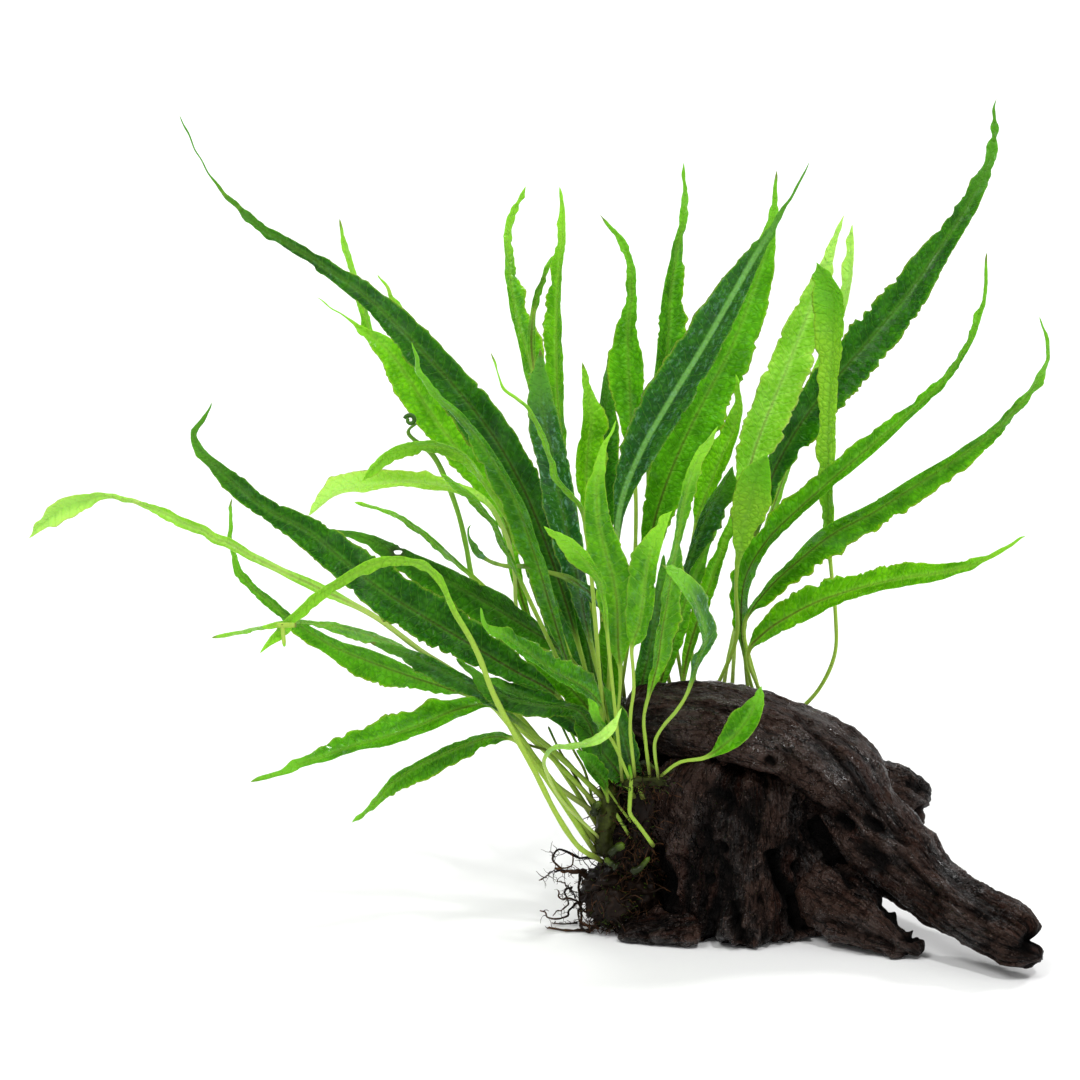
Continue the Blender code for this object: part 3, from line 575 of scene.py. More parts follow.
def leaf_colour(w, at, given):
    """The blade's green: lighter on its veins and margin, mottled over centimetres, with a painted
    shade and painted wet glints on the blue fronds.
    """
    shade = w.math("ADD", w.math("MULTIPLY", w.ramp(at.mottle, 0.3, 0.7), 0.75),
                   w.math("MULTIPLY", at.puff, 0.25))
    shade = w.math("ADD", shade, w.ramp(at.luck, 0.0, 1.0, -0.22, 0.22), clamp=True)
    colour = w.mix(shade, given["Deep"], given["Light"])
    colour = w.mix(w.math("MULTIPLY", at.fresh, 0.8), colour, FRESH_YELLOW)
    # Painted shade: the blue fronds are darkened toward a shaded blue, more where the mottle is low.
    shaded = w.math("MULTIPLY", at.blue, w.ramp(at.mottle, 0.3, 0.7, 0.9, 0.5))
    colour = w.mix(shaded, colour, PAINTED_SHADE_BLUE)
    colour = w.mix(w.math("MULTIPLY", at.net, 0.30), colour, given["Deep"])
    colour = w.mix(w.math("MULTIPLY", at.side_vein, 0.26), colour, given["Vein"])
    colour = w.mix(w.math("MULTIPLY", w.ramp(at.edge, 0.86, 1.0), 0.35), colour, given["Vein"])
    rib_halo = w.ramp(at.off, 0.3, 1.1, 1.0, 0.0)
    colour = w.mix(w.math("MULTIPLY", rib_halo, 0.35), colour, given["Vein"])
    midrib = w.ramp(at.off, 0.16, 0.42, 1.0, 0.0)
    brown_rib = w.math("MULTIPLY", midrib, w.ramp(at.place, 0.2, 0.75, 0.85, 0.15))
    brown_rib = w.math("MULTIPLY", brown_rib, w.ramp(at.fresh, 0.0, 1.0, 1.0, 0.35))
    colour = w.mix(brown_rib, colour, given["Rib"])
    wide_rib = w.math("MULTIPLY", w.ramp(at.off, 0.30, 0.95, 1.0, 0.0), at.pale_rib)
    colour = w.mix(wide_rib, colour, PALE_MIDRIB)
    colour = w.mix(w.math("MULTIPLY", at.under, 0.22), colour, given["Vein"])
    # Painted wet glints: pale blue-grey spots over the blue fronds stand in for light reflected by
    # their water film.
    glint_flecks = w.noise(w.vector(w.math("MULTIPLY", at.along, 0.5), at.across, at.seed), 1.1, 5, 0.65)
    painted_glint = w.math("MULTIPLY", w.ramp(glint_flecks, 0.53, 0.64, 0.0, 0.50), at.blue)
    return w.mix(painted_glint, colour, PAINTED_WET_GLINT)


def worn_colour(w, at, given, colour):
    """The same colour with the stalk's own, a paler tip, and brown scars, patches and dry tips."""
    freckle = w.ramp(w.noise(at.spot, 1.5, 3), 0.66, 0.72)
    stalk = w.mix(w.math("MULTIPLY", freckle, 0.6), given["Stalk"], STALK_FRECKLE)
    stalk = w.mix(w.ramp(at.place, 0.0, 0.10, 0.8, 0.0), stalk, STALK_FOOT)
    colour = w.mix(w.ramp(at.blade, 0.0, 0.6, 1.0, 0.0), colour, stalk)
    pale_green = w.mix(0.45, given["Light"], given["Vein"])
    colour = w.mix(w.ramp(at.place, 0.80, 0.93), colour, pale_green)
    scar = w.ramp(w.noise(at.spot, 0.55, 5, 0.7), 0.64, 0.70)
    colour = w.mix(w.math("MULTIPLY", scar, given["Wear"]), colour, SCAR_BROWN)
    brown_patch = w.math("MULTIPLY", at.browned, w.ramp(at.mottle, 0.25, 0.6, 1.0, 0.55))
    colour = w.mix(brown_patch, colour, DEAD_BROWN)
    dry_tip = w.math("MULTIPLY", w.ramp(at.place, 0.975, 0.99), w.ramp(at.luck, 0.70, 0.8))
    return w.mix(w.math("MULTIPLY", dry_tip, 0.6), colour, DRY_TIP)


def leaf_wetness(w, at):
    """Roughness and the strength of the wet film, both higher and lower by patches."""
    wet = w.ramp(w.noise(at.spot, 0.42, 3), 0.35, 0.65)
    rough = w.math("ADD", w.math("MULTIPLY", wet, 0.20), w.math("MULTIPLY", at.fine, 0.16))
    rough = w.math("ADD", rough, w.ramp(at.blade, 0.0, 1.0, 0.34, 0.14))
    rough = w.math("SUBTRACT", rough, w.math("MULTIPLY", at.blue, 0.10), clamp=True)
    film = w.ramp(w.noise(at.spot, 0.14, 2), 0.52, 0.64, 0.0, 0.35)
    return rough, w.math("ADD", film, w.math("MULTIPLY", at.blue, 0.6), clamp=True)


def leaf_group():
    """Colour, roughness, height and wet film of a fern blade, from one tone's colours."""
    group = new_group(
        "leaf_surface",
        {"Deep": ("Color", (0.02, 0.1, 0.01, 1)), "Light": ("Color", (0.1, 0.35, 0.02, 1)),
         "Vein": ("Color", (0.3, 0.5, 0.08, 1)), "Rib": ("Color", (0.1, 0.06, 0.02, 1)),
         "Stalk": ("Color", (0.3, 0.5, 0.1, 1)), "Wear": ("Float", 0.3)},
        SURFACE_OUTPUTS,
    )
    w = Wiring(group)
    given = w.add("NodeGroupInput").outputs
    out = w.add("NodeGroupOutput")
    at = leaf_pattern(w)
    colour = worn_colour(w, at, given, leaf_colour(w, at, given))
    rough, film = leaf_wetness(w, at)
    height = w.math("ADD", w.math("MULTIPLY", at.puff, 0.7), w.math("MULTIPLY", at.fine, 0.22))
    height = w.math("SUBTRACT", height, w.math("MULTIPLY", at.side_vein, 0.45))
    height = w.math("MULTIPLY", height, w.ramp(at.blade, 0.0, 0.6, 0.25, 1.0))
    w.feed(out, Color=colour, Roughness=rough, Height=height, Wet=film)
    return group


LEAF_TONES = {
    # deep, light, vein, rib, stalk, wear
    "leaf_dark": ((0.010, 0.056, 0.001), (0.040, 0.185, 0.003), (0.11, 0.32, 0.025),
                  (0.035, 0.045, 0.005), (0.24, 0.38, 0.045), 0.30),
    "leaf_mid": ((0.028, 0.135, 0.001), (0.095, 0.355, 0.004), (0.20, 0.48, 0.035),
                 (0.060, 0.075, 0.006), (0.30, 0.46, 0.06), 0.18),
    "leaf_bright": ((0.062, 0.240, 0.001), (0.180, 0.520, 0.006), (0.29, 0.60, 0.05),
                    (0.095, 0.110, 0.010), (0.34, 0.50, 0.07), 0.08),
    "leaf_pale": ((0.180, 0.450, 0.018), (0.350, 0.690, 0.075), (0.46, 0.75, 0.17),
                  (0.160, 0.125, 0.030), (0.42, 0.57, 0.13), 0.08),
    "stem_green": ((0.045, 0.130, 0.010), (0.100, 0.230, 0.025), (0.16, 0.30, 0.04),
                   (0.050, 0.045, 0.010), (0.21, 0.42, 0.05), 0.30),
}


def leaf_material(name, tone, surface):
    """A wet, slightly see-through blade in one tone of green."""
    material, w, shader = new_material(name)
    inputs = dict(zip(("Deep", "Light", "Vein", "Rib", "Stalk"), map(rgba, tone[:5])))
    look = w.add("ShaderNodeGroup", {"node_tree": surface}, **inputs, Wear=tone[5])
    bump = w.add("ShaderNodeBump", Strength=0.75, Distance=0.00040, Height=look.outputs["Height"])
    w.feed(shader, Base_Color=look.outputs["Color"], Roughness=look.outputs["Roughness"],
           Normal=bump.outputs[0], Subsurface_Weight=0.35, Subsurface_Scale=0.0012,
           Subsurface_Radius=(0.6, 1.0, 0.15), Specular_IOR_Level=0.08,
           Coat_Weight=look.outputs["Wet"], Coat_Roughness=0.09, Coat_IOR=WATER_IOR)
    return material


# How far a frond is browned, darkened by a painted shade in blue and spotted with painted wet glints
# over a wetter film, freshly yellow, and pale on its midrib.
TRAITS = {
    "frond_middle_dark": (0.0, 1.0, 0.0, 0), "frond_front_glossy": (0.0, 0.8, 0.0, 0),
    "frond_right_shaded": (0.0, 0.5, 0.0, 0), "frond_low_holed": (0.10, 0.0, 0.0, 0),
    "frond_left_broad_yellow": (0.0, 0.0, 0.7, 0), "frond_left_arch": (0.0, 0.0, 0.3, 0),
    "frond_low_long_pale": (0.05, 0.0, 0.2, 0), "frond_left_high_3": (0.0, 0.3, 0.0, 0),
    "frond_middle_1": (0.0, 0.2, 0.0, 0), "frond_right_bent": (0.0, 0.0, 0.9, 0),
    "frond_low_arching_young": (0.0, 0.0, 0.6, 0), "frond_low_wavy": (0.0, 0.35, 0.0, 0),
    "frond_low_short_dark": (0.05, 0.3, 0.0, 0), "frond_right_folded": (0.0, 0.45, 0.0, 0.65),
    "frond_right_hooked": (0.0, 0.0, 1.0, 0), "frond_front_curled": (0.0, 0.45, 0.0, 0),
    "frond_front_bright": (0.0, 0.20, 0.0, 0), "frond_front_forked": (0.0, 0.22, 0.0, 0),
    "frond_front_long": (0.0, 0.15, 0.0, 0), "frond_left_tail": (0.0, 0.40, 0.0, 0),
    "frond_front_small": (0.0, 0.10, 0.0, 0), "frond_low_front": (0.0, 0.30, 0.0, 0),
    "frond_low_broad_dark": (0.0, 0.1, 0.0, 0), "frond_right_long_dark": (0.0, 0.1, 0.0, 0),
    "frond_left_high_1": (0.0, 0.15, 0.0, 0),
}
HOLE = (-80.5, 99.4, 1.0, 0.62)  # across, up and half sizes of the hole in one low frond

# Small fronds and stalks that fill the tuft: tone, traits, depths at the base and the tip, turn,
# and a route of places across and up with widths, from the base outward.
SMALL_FRONDS = {
    "prong_back": ("leaf_bright", (0, 0, 0.6, 0), (-60.0, -60.0), 10, [
        (-108.5, 81.2, 2.4), (-110.5, 81.2, 2.2), (-112.5, 81.0, 1.7), (-114.4, 81.0, 0.6)]),
    "prong_front": ("leaf_bright", (0, 0, 0.6, 0), (-60.0, -60.0), -10, [
        (-109.2, 79.0, 2.0), (-109.1, 77.9, 1.6), (-109.0, 76.9, 1.2), (-108.9, 75.8, 0.6)]),
    "tip_behind": ("leaf_bright", (0, 0, 0.3, 0), (12, 24), 20, [
        (-70, 143, 3), (-75, 151, 3), (-78.7, 157.5, 2.2), (-82, 163.2, 1.6), (-83, 165.2, 1.2),
        (-85.5, 169, 0.5)]),
    "narrow_tip": ("leaf_mid", (0, 0, 0, 0), (4, 12), 30, [
        (-46.5, 143, 2.6), (-47.3, 151, 3.2), (-47, 157.5, 3.0), (-46, 162.7, 2.4),
        (-43.7, 169, 1.8), (-41.5, 173.5, 0.5)]),
    "withered_strip": ("leaf_dark", (0.15, 0.9, 0, 0), (-16, -22), 15, [
        (-28, 82, 2), (-29.2, 85.7, 3), (-31.5, 88.2, 4), (-34.2, 90.5, 3.3), (-38.7, 93.2, 2.8),
        (-43.2, 94.5, 2.2), (-47.7, 95.7, 2), (-52.2, 96, 1.5), (-56.5, 97.2, 1.3),
        (-61, 99.5, 2), (-63, 102.7, 1), (-63.2, 105.2, 0.6), (-62, 106.2, 0.4)]),
    "dead_thread": ("leaf_dark", (1, 0, 0, 0), (-18, -22), 0, [
        (-33, 42, 1), (-35, 43.7, 1), (-40, 48.7, 0.9), (-47.5, 51.2, 0.8), (-52.5, 53.7, 0.5)]),
    "pale_stem": ("leaf_mid", (0, 0, 0.6, 0), (-21.5, -26.5), 0, [
        (-17.9, 27.8, 1.5), (-19.4, 29.9, 1.5), (-21, 32, 1.5), (-22.5, 34.2, 1.5),
        (-22.5, 37.5, 1.4), (-22.2, 42.5, 1.3), (-22.7, 46.5, 1.1)]),
    "fill_dark_1": ("leaf_dark", (0, 0.3, 0, 0), (1, 6), 15, [
        (-28, 45, 1.4), (-34, 62, 6), (-40, 80, 7.5), (-46, 95, 6), (-50, 104, 1)]),
    "fill_dark_2": ("leaf_dark", (0, 0.1, 0, 0), (3, 10), -25, [
        (-26, 44, 1.4), (-30, 60, 5), (-33, 76, 7), (-36, 92, 6), (-38, 106, 1)]),
    "fill_dark_3": ("leaf_dark", (0, 0.2, 0, 0), (4, 9), 20, [
        (-22, 48, 1.4), (-20, 64, 5), (-17, 78, 5.5), (-15, 90, 3.5), (-14, 99, 0.6)]),
    "fill_mid_1": ("leaf_mid", (0, 0, 0, 0), (5, 12), -15, [
        (-26, 48, 1.4), (-27, 62, 4.5), (-27.5, 78, 5.5), (-26, 92, 3.5), (-25, 101, 0.6)]),
    "fill_mid_2": ("leaf_mid", (0, 0, 0, 0), (8, 14), 25, [
        (-18, 56, 1.4), (-14, 70, 4), (-9, 86, 5), (-4, 100, 3), (0, 110, 0.6)]),
    "fill_bright_1": ("leaf_bright", (0, 0, 0, 0), (15, 19), -20, [
        (-10, 60, 1.4), (-8, 74, 3.5), (-3, 90, 4.5), (2, 104, 3), (6, 114, 0.6)]),
    "fill_low_1": ("leaf_dark", (0, 0.2, 0, 0), (-19, -25), 20, [
        (-24, 44, 1.4), (-29, 50, 5), (-35, 56, 6.5), (-43, 61, 6), (-52, 65, 4), (-60, 68, 0.8)]),
    "fill_low_2": ("leaf_mid", (0, 0, 0, 0), (-16, -20), -30, [
        (-24, 48, 1.4), (-31, 58, 5), (-38, 66, 6), (-46, 73, 5), (-54, 79, 0.8)]),
    "fill_low_3": ("leaf_dark", (0, 0, 0, 0), (-22, -26), -10, [
        (-22.5, 40, 1.6), (-25, 44, 5.5), (-29, 49, 7.5), (-33, 55, 6), (-37, 61.5, 0.8)]),
    "fill_low_4": ("leaf_dark", (0, 0.3, 0, 0), (-23, -24), 25, [
        (-20, 40, 1.4), (-22, 46, 5), (-24, 53, 5.5), (-26.5, 60, 4), (-29, 66, 0.8)]),
    "thin_stem_1": ("leaf_dark", (0.8, 0, 0, 0), (-17, -22), 0, [
        (-32.5, 37, 0.9), (-36.5, 44, 0.9), (-40, 49.7, 0.8), (-43, 56, 0.7)]),
    "thin_stem_2": ("leaf_dark", (0.6, 0, 0, 0), (-17, -21), 0, [
        (-31.5, 36, 0.9), (-33.7, 44.5, 0.9), (-36.5, 49.7, 0.8), (-40, 57, 0.7)]),
    "thin_stem_3": ("leaf_mid", (0.2, 0, 0.3, 0), (-18, -23), 0, [
        (-23.5, 30, 1.1), (-26.5, 35, 1.1), (-30.2, 42.2, 1.0), (-34.2, 48.5, 0.9), (-38, 56, 0.8)]),
    "thin_stem_4": ("leaf_mid", (0.3, 0, 0.2, 0), (-18, -21), 0, [
        (-22, 32, 0.9), (-23.5, 33.7, 0.9), (-27, 38.5, 0.8), (-31, 45, 0.7)]),
}


def drawn_stations(route, depth, turn):
    """Stations of a frond that faces the eye, turned about its own line."""
    table = np.asarray(route, float)
    run = lengths_along(table[:, :2])
    deep = depth[0] + (depth[1] - depth[0]) * run / run[-1]
    middle = from_board(np.column_stack([table[:, :2], deep]))
    ahead = unit(np.gradient(middle, axis=0))
    side = unit(np.cross(ahead, middle - EYE_MM))
    face = np.cross(ahead, side)
    side, face = turned(side, face, radians(turn))
    return middle, side, face, 0.5 * table[:, 2], 0.15 * table[:, 2]


def corners_of(mesh):
    """A mesh's corners as rows."""
    places = np.empty(len(mesh.vertices) * 3, np.float32)
    mesh.vertices.foreach_get("co", places)
    return places.reshape(-1, 3)


LEAF_MARKS = ("leaf_mm", "leaf_place", "leaf_kind", "leaf_traits")


def carry_marks(source, target):
    """Gives each corner of a mesh the marks of the nearest corner of another."""
    old, new = corners_of(source) / MM, corners_of(target) / MM
    apart = (new**2).sum(axis=1)[:, None] + (old**2).sum(axis=1)[None] - 2 * new @ old.T
    nearest = apart.argmin(axis=1)
    for mark in LEAF_MARKS:
        values = np.empty(len(old) * 3, np.float32)
        source.attributes[mark].data.foreach_get("vector", values)
        if mark in target.attributes:
            target.attributes.remove(target.attributes[mark])
        layer = target.attributes.new(mark, "FLOAT_VECTOR", "POINT")
        layer.data.foreach_set("vector", values.reshape(-1, 3)[nearest].ravel())


CUT_DEPTHS = (-90.0, 60.0)  # a hole's cutter runs right through the plant


def pierced(piece, hole):
    """Cuts an oval hole right through a blade along the line of sight."""
    over, up, half_over, half_up = hole
    turn = np.linspace(0, 2 * pi, 20, endpoint=False)
    across = over + half_over * np.cos(turn) * (1 + 0.15 * np.sin(3 * turn))
    height = up + half_up * np.sin(turn) * (1 + 0.2 * np.cos(2 * turn))
    rings = np.stack([from_board(stacked(across, height, deep)) for deep in CUT_DEPTHS])
    corners, quads, fans = closed_grid(rings)
    mesh = mesh_from("hole_cutter", corners, *turned_outward(corners, quads, fans))
    cutter = bpy.data.objects.new("hole_cutter", mesh)
    bpy.context.scene.collection.objects.link(cutter)
    cut = piece.modifiers.new("hole", "BOOLEAN")
    cut.operation, cut.solver, cut.object = "DIFFERENCE", "EXACT", cutter
    bpy.context.view_layer.update()
    view = bpy.context.evaluated_depsgraph_get()
    finished = bpy.data.meshes.new_from_object(piece.evaluated_get(view))
    carry_marks(piece.data, finished)
    piece.modifiers.clear()
    piece.data = finished
    bpy.data.objects.remove(cutter)


def grow_fronds(surface):
    """Every frond solid becomes a fine blade in its own tone."""
    near = np.vstack([corners_and_faces(name)[0] for name in RHIZOMES])
    slots = {s["node"]: s["material_slot"] for s in frame["record"]["subparts"]}
    finishes = {slot: leaf_material(slot, tone, surface) for slot, tone in LEAF_TONES.items()}
    for order, node in enumerate(sorted(n for n in frame["nodes"] if n.startswith("frond_"))):
        rng = np.random.default_rng(100 + order)
        hole = HOLE if node == "frond_low_holed" else None
        stout = next((r for start, r in STOUT_STALKS.items() if node.startswith(start)), STALK_RADIUS)
        rings, marks = frond_rings(frond_stations(node, near), rng, TRAITS.get(node, NO_TRAITS),
                                   hole, stout, FOLDED_HALF.get(node, NOT_FOLDED))
        name = node.replace("frond_", "fern_frond_")
        piece = add_piece(name, rings, marks, finishes[slots[node]], [node])
        if hole:
            pierced(piece, hole)
    for order, (name, (tone, traits, depth, turn, route)) in enumerate(SMALL_FRONDS.items()):
        rng = np.random.default_rng(300 + order)
        rings, marks = frond_rings(drawn_stations(route, depth, turn), rng, traits)
        add_piece("fern_" + name, rings, marks, finishes[tone], [])


def add_curl(material):
    """The coiled tip of the young frond: a tapering tube on a flat spiral."""
    count = 90
    middle_over, middle_up = -77.43, 132.5
    turn = np.linspace(0, 2.1 * pi, count)
    radius = 1.3 - 0.33 * turn / pi
    drawn = np.column_stack([middle_over - radius * np.cos(turn + 0.3),
                             middle_up + radius * np.sin(turn + 0.3),
                             np.linspace(-14.0, -15.0, count)])
    thick = 0.62 - 0.09 * turn / pi
    mesh = tubes_mesh("fern_curl_coil", from_board(drawn)[None], thick[None], 12)
    place_piece("fern_curl_coil", mesh, material)


# ---------------------------------------------------------------- wood

def hit_distances(starts, rays, nodes, reach):
    """How far each ray runs to the last solid face within reach, or -1 if it meets none.

    start + t * ray = a + u * (b - a) + w * (c - a) is solved for every ray and triangle.
    """
    found = [corners_and_faces(node) for node in nodes]
    triangles = np.vstack([corners[faces] for corners, faces in found])
    a, ab, ac = triangles[:, 0], triangles[:, 1] - triangles[:, 0], triangles[:, 2] - triangles[:, 0]
    across = np.cross(rays[:, None], ac[None])
    scale = np.einsum("rtk,tk->rt", across, ab)
    scale = np.where(np.abs(scale) < 1e-9, 1e-9, scale)
    gap = starts[:, None] - a[None]
    u = np.einsum("rtk,rtk->rt", gap, across) / scale
    turned = np.cross(gap, ab[None])
    w = np.einsum("rk,rtk->rt", rays, turned) / scale
    t = np.einsum("tk,rtk->rt", ac, turned) / scale
    slack = 1e-4
    met = (u > -slack) & (w > -slack) & (u + w < 1 + slack) & (t > 0) & (t < reach)
    return np.where(met, t, -1.0).max(axis=1)


def softened(values):
    """Each value blended with its neighbours along and around."""
    ends = np.vstack([values[:1], values, values[-1:]])
    values = 0.25 * ends[:-2] + 0.5 * values + 0.25 * ends[2:]
    return 0.25 * np.roll(values, 1, 1) + 0.5 * values + 0.25 * np.roll(values, -1, 1)


def rays_from_axis(drawn_axis, cap, rows, around):
    """Start points and directions of rays that fan out from an axis.

    Over the middle they are square to it. Over a cap share at each end they start from the
    axis end and tilt step by step until they run straight on from it.
    """
    place = np.linspace(0, 1, rows)
    samples = 200
    axis = even_curve(from_board(drawn_axis), samples)
    inner = np.clip((place - cap) / (1 - 2 * cap), 0, 1)
    run = np.linspace(0, 1, samples)
    starts = np.column_stack([np.interp(inner, run, column) for column in axis.T])
    sides, faces = carried_frames(axis, (0.0, 1.0, 0.05))
    ahead = unit(np.gradient(axis, axis=0))
    step = (inner * (samples - 1)).round().astype(int)
    side, face, ahead = sides[step], faces[step], ahead[step]
    before, after = np.clip(1 - place / cap, 0, 1), np.clip(1 - (1 - place) / cap, 0, 1)
    tilt = radians(87) * (after - before)
    turn = np.linspace(0, 2 * pi, around, endpoint=False)
    square = (np.cos(turn)[None, :, None] * side[:, None]
              + np.sin(turn)[None, :, None] * face[:, None])
    rays = square * np.cos(tilt)[:, None, None] + ahead[:, None] * np.sin(tilt)[:, None, None]
    return starts, rays, turn


GRAIN_LAYERS = (
    # width round the wood, length along it and height of the ridges, in mm
    (8.0, 150.0, 1.0), (4.2, 75.0, 0.8), (2.3, 40.0, 0.5), (1.3, 20.0, 0.34), (0.8, 9.0, 0.2),
)


def grain(along, turn, radius, seed, depth):
    """Weathered grain: ridges and grooves that run along the wood.

    Each layer is smooth noise stretched along the wood. Its middle values are steepened, which
    gives flat-topped ridges, and a narrow crack runs wherever it passes through zero.
    """
    wander = 0.6 * noise(along / 30.0, seed) + 0.3 * noise(along / 11.0, seed + 5.0)
    total = np.zeros(np.broadcast(along, turn).shape)
    for layer, (wide, long, high) in enumerate(GRAIN_LAYERS):
        x = radius / wide * np.cos(turn + wander)
        y = radius / wide * np.sin(turn + wander)
        n = noise(x, y, along / long + seed + 7.3 * layer)
        total += high * depth * (np.tanh(3.0 * n) - 0.8 * (1 - np.abs(n)) ** 12)
    return total


# Hollows as the eye sees them: a line of places across and up, half width, depth, and whether
# the hollow goes right through to the far side.
HOLLOWS = {
    "top_and_limb": (
        ([(12, 47.5), (12.8, 46.8)], 1.2, 2.6, False),
        ([(30, 32.5), (32, 31.2)], 1.7, 3.6, False),
        ([(37.2, 33), (39.2, 31.3)], 1.5, 3.2, False),
        ([(14, 50), (24, 44), (33, 35.5), (37.5, 30)], 0.8, 1.0, False),
        ([(-4, 47.5), (6, 46.5), (16, 41.5), (26, 35), (31, 29)], 0.9, 1.1, False),
        ([(19, 57.5), (27, 51), (33, 44), (40, 34), (47, 26)], 0.8, 1.3, False),
        ([(44, 25), (54, 15), (66, 7)], 0.9, 1.0, False),
        ([(83, 3.5), (78.5, 2.6), (76.6, 1.6)], 1.9, 4.2, True),
        ([(36, 26), (40, 22)], 2.4, 2.0, False),
    ),
    "lump": (
        ([(-14.5, 45), (-14.5, 37), (-13.5, 29)], 4.5, -4.5, True),
        ([(1, 38.8), (1.5, 38)], 1.0, 2.4, False),
        ([(0.5, 26.2), (1.2, 25.4)], 1.2, 2.8, False),
        ([(-4, 18), (-3.6, 17)], 0.8, 1.8, False),
        ([(20, 21), (20.4, 20)], 0.9, 1.8, False),
        ([(-14.5, 24), (-13, 18), (-13.5, 9)], 2.6, 2.6, False),
        ([(-10, 24), (-8.4, 18), (-9.4, 10)], 0.9, 1.5, False),
        ([(3.4, 11), (4.3, 7), (5.2, 3)], 1.3, 3.0, False),
        ([(12.6, 24), (15, 17.5), (19.5, 11.5), (20.5, 6)], 1.5, 4.6, False),
        ([(27, 30), (30, 24), (32, 18)], 3.2, 5.0, False),
        ([(-3, 41), (6, 33), (14, 27), (22, 25)], 1.6, 1.2, False),
        ([(-12, 34), (-4, 28), (2, 18), (3, 12)], 1.2, 0.9, False),
        ([(-2, 12), (-3.5, 6), (-4, 1)], 1.0, 1.6, False),
        ([(9.5, 14), (11, 8), (11.5, 3)], 1.1, 1.2, False),
    ),
    "short_limb": (
        ([(22, 16), (30, 13.5), (36, 9)], 0.8, 1.0, False),
        ([(27, 8), (36, 4), (43, 1)], 0.9, 1.1, False),
        ([(41.5, 12), (44.5, 9), (47.5, 6.4)], 1.8, 3.4, True),
        ([(50, 5), (47.4, 3.2)], 1.3, 2.8, True),
        ([(49, -3), (46.5, -1.5)], 1.2, 2.0, True),
        ([(31, 20), (32.5, 16)], 1.4, 1.4, False),
    ),
    "back_plank": (
        ([(40, 34), (44, 30), (42, 26)], 1.0, 2.2, False),
        ([(47, 41), (49.5, 40)], 1.2, 1.8, True),
        ([(48.5, 33), (50, 35.5)], 0.9, 1.6, True), ([(47, 27), (43, 25)], 1.2, 2.2, True),
        ([(36, 42), (42, 36)], 0.8, 1.2, False),
    ),
    "left_foot": (
        ([(-20, 4.5), (-12, 5.5), (-7, 4)], 0.8, 1.2, False),
        ([(-16, 9), (-14, 7)], 1.0, 1.4, False),
    ),
}


def distance_to_line(places, line):
    """How far each place is from the nearest point of a broken line."""
    nearest = np.full(places.shape[:-1], np.inf)
    for a, b in zip(line[:-1], line[1:]):
        run = b - a
        t = np.clip((places - a) @ run / run.dot(run), 0, 1)
        nearest = np.minimum(nearest, np.linalg.norm(places - a - t[..., None] * run, axis=-1))
    return nearest


def hollowed(points, rays, hollows):
    """How much wood is missing at each point: a bell-shaped dip round every hollow's line.

    A hollow of negative depth is a bulge.
    """
    missing = np.zeros(points.shape[:-1])
    facing = smooth_step(-0.1, 0.4, np.einsum("...k,...k->...", rays, unit(EYE_MM - points)))
    x, y, z = np.moveaxis(points, -1, 0)
    stray = stacked(*(noise(x / 2.4, y / 2.4, z / 2.4, seed) for seed in (31, 32)))
    seen = on_board(points) + 0.55 * stray
    ragged = 1 + 0.4 * noise(x / 1.7, y / 1.7, z / 1.7, 33)
    for line, half, depth, through in hollows:
        away = distance_to_line(seen, np.asarray(line, float))
        dip = depth * np.exp(-((away / (half * ragged)) ** 2))
        dip = dip * (1.0 if through else facing)
        missing = np.maximum(missing, dip) if depth > 0 else missing + dip
    return missing


COARSE_ROWS, COARSE_AROUND = 41, 36  # the fan of rays that finds a solid's skin
FARTHEST_SKIN = 45.0  # how far a ray looks for it, in mm
LUMP_LAYERS = ((7.0, 1.0), (3.2, 0.6), (1.6, 0.4), (0.9, 0.26))  # size and height in mm


def skin_radius(starts, rays, nodes):
    """How far out the solid's skin lies along every ray.

    A coarse fan of rays finds it. The distances are softened and drawn through by smooth curves.
    """
    rows, around = rays.shape[:2]
    by_row, by_turn = (rows - 1) // (COARSE_ROWS - 1), around // COARSE_AROUND
    some = rays[::by_row, ::by_turn]
    origins = np.broadcast_to(starts[::by_row, None], some.shape)
    reach = hit_distances(origins.reshape(-1, 3), some.reshape(-1, 3), nodes, FARTHEST_SKIN)
    reach = reach.reshape(some.shape[:2])
    reach = softened(np.where(reach < 0, np.median(reach[reach > 0]), reach))
    return curve_through(curve_through(reach, rows).T, around, closed=True).T


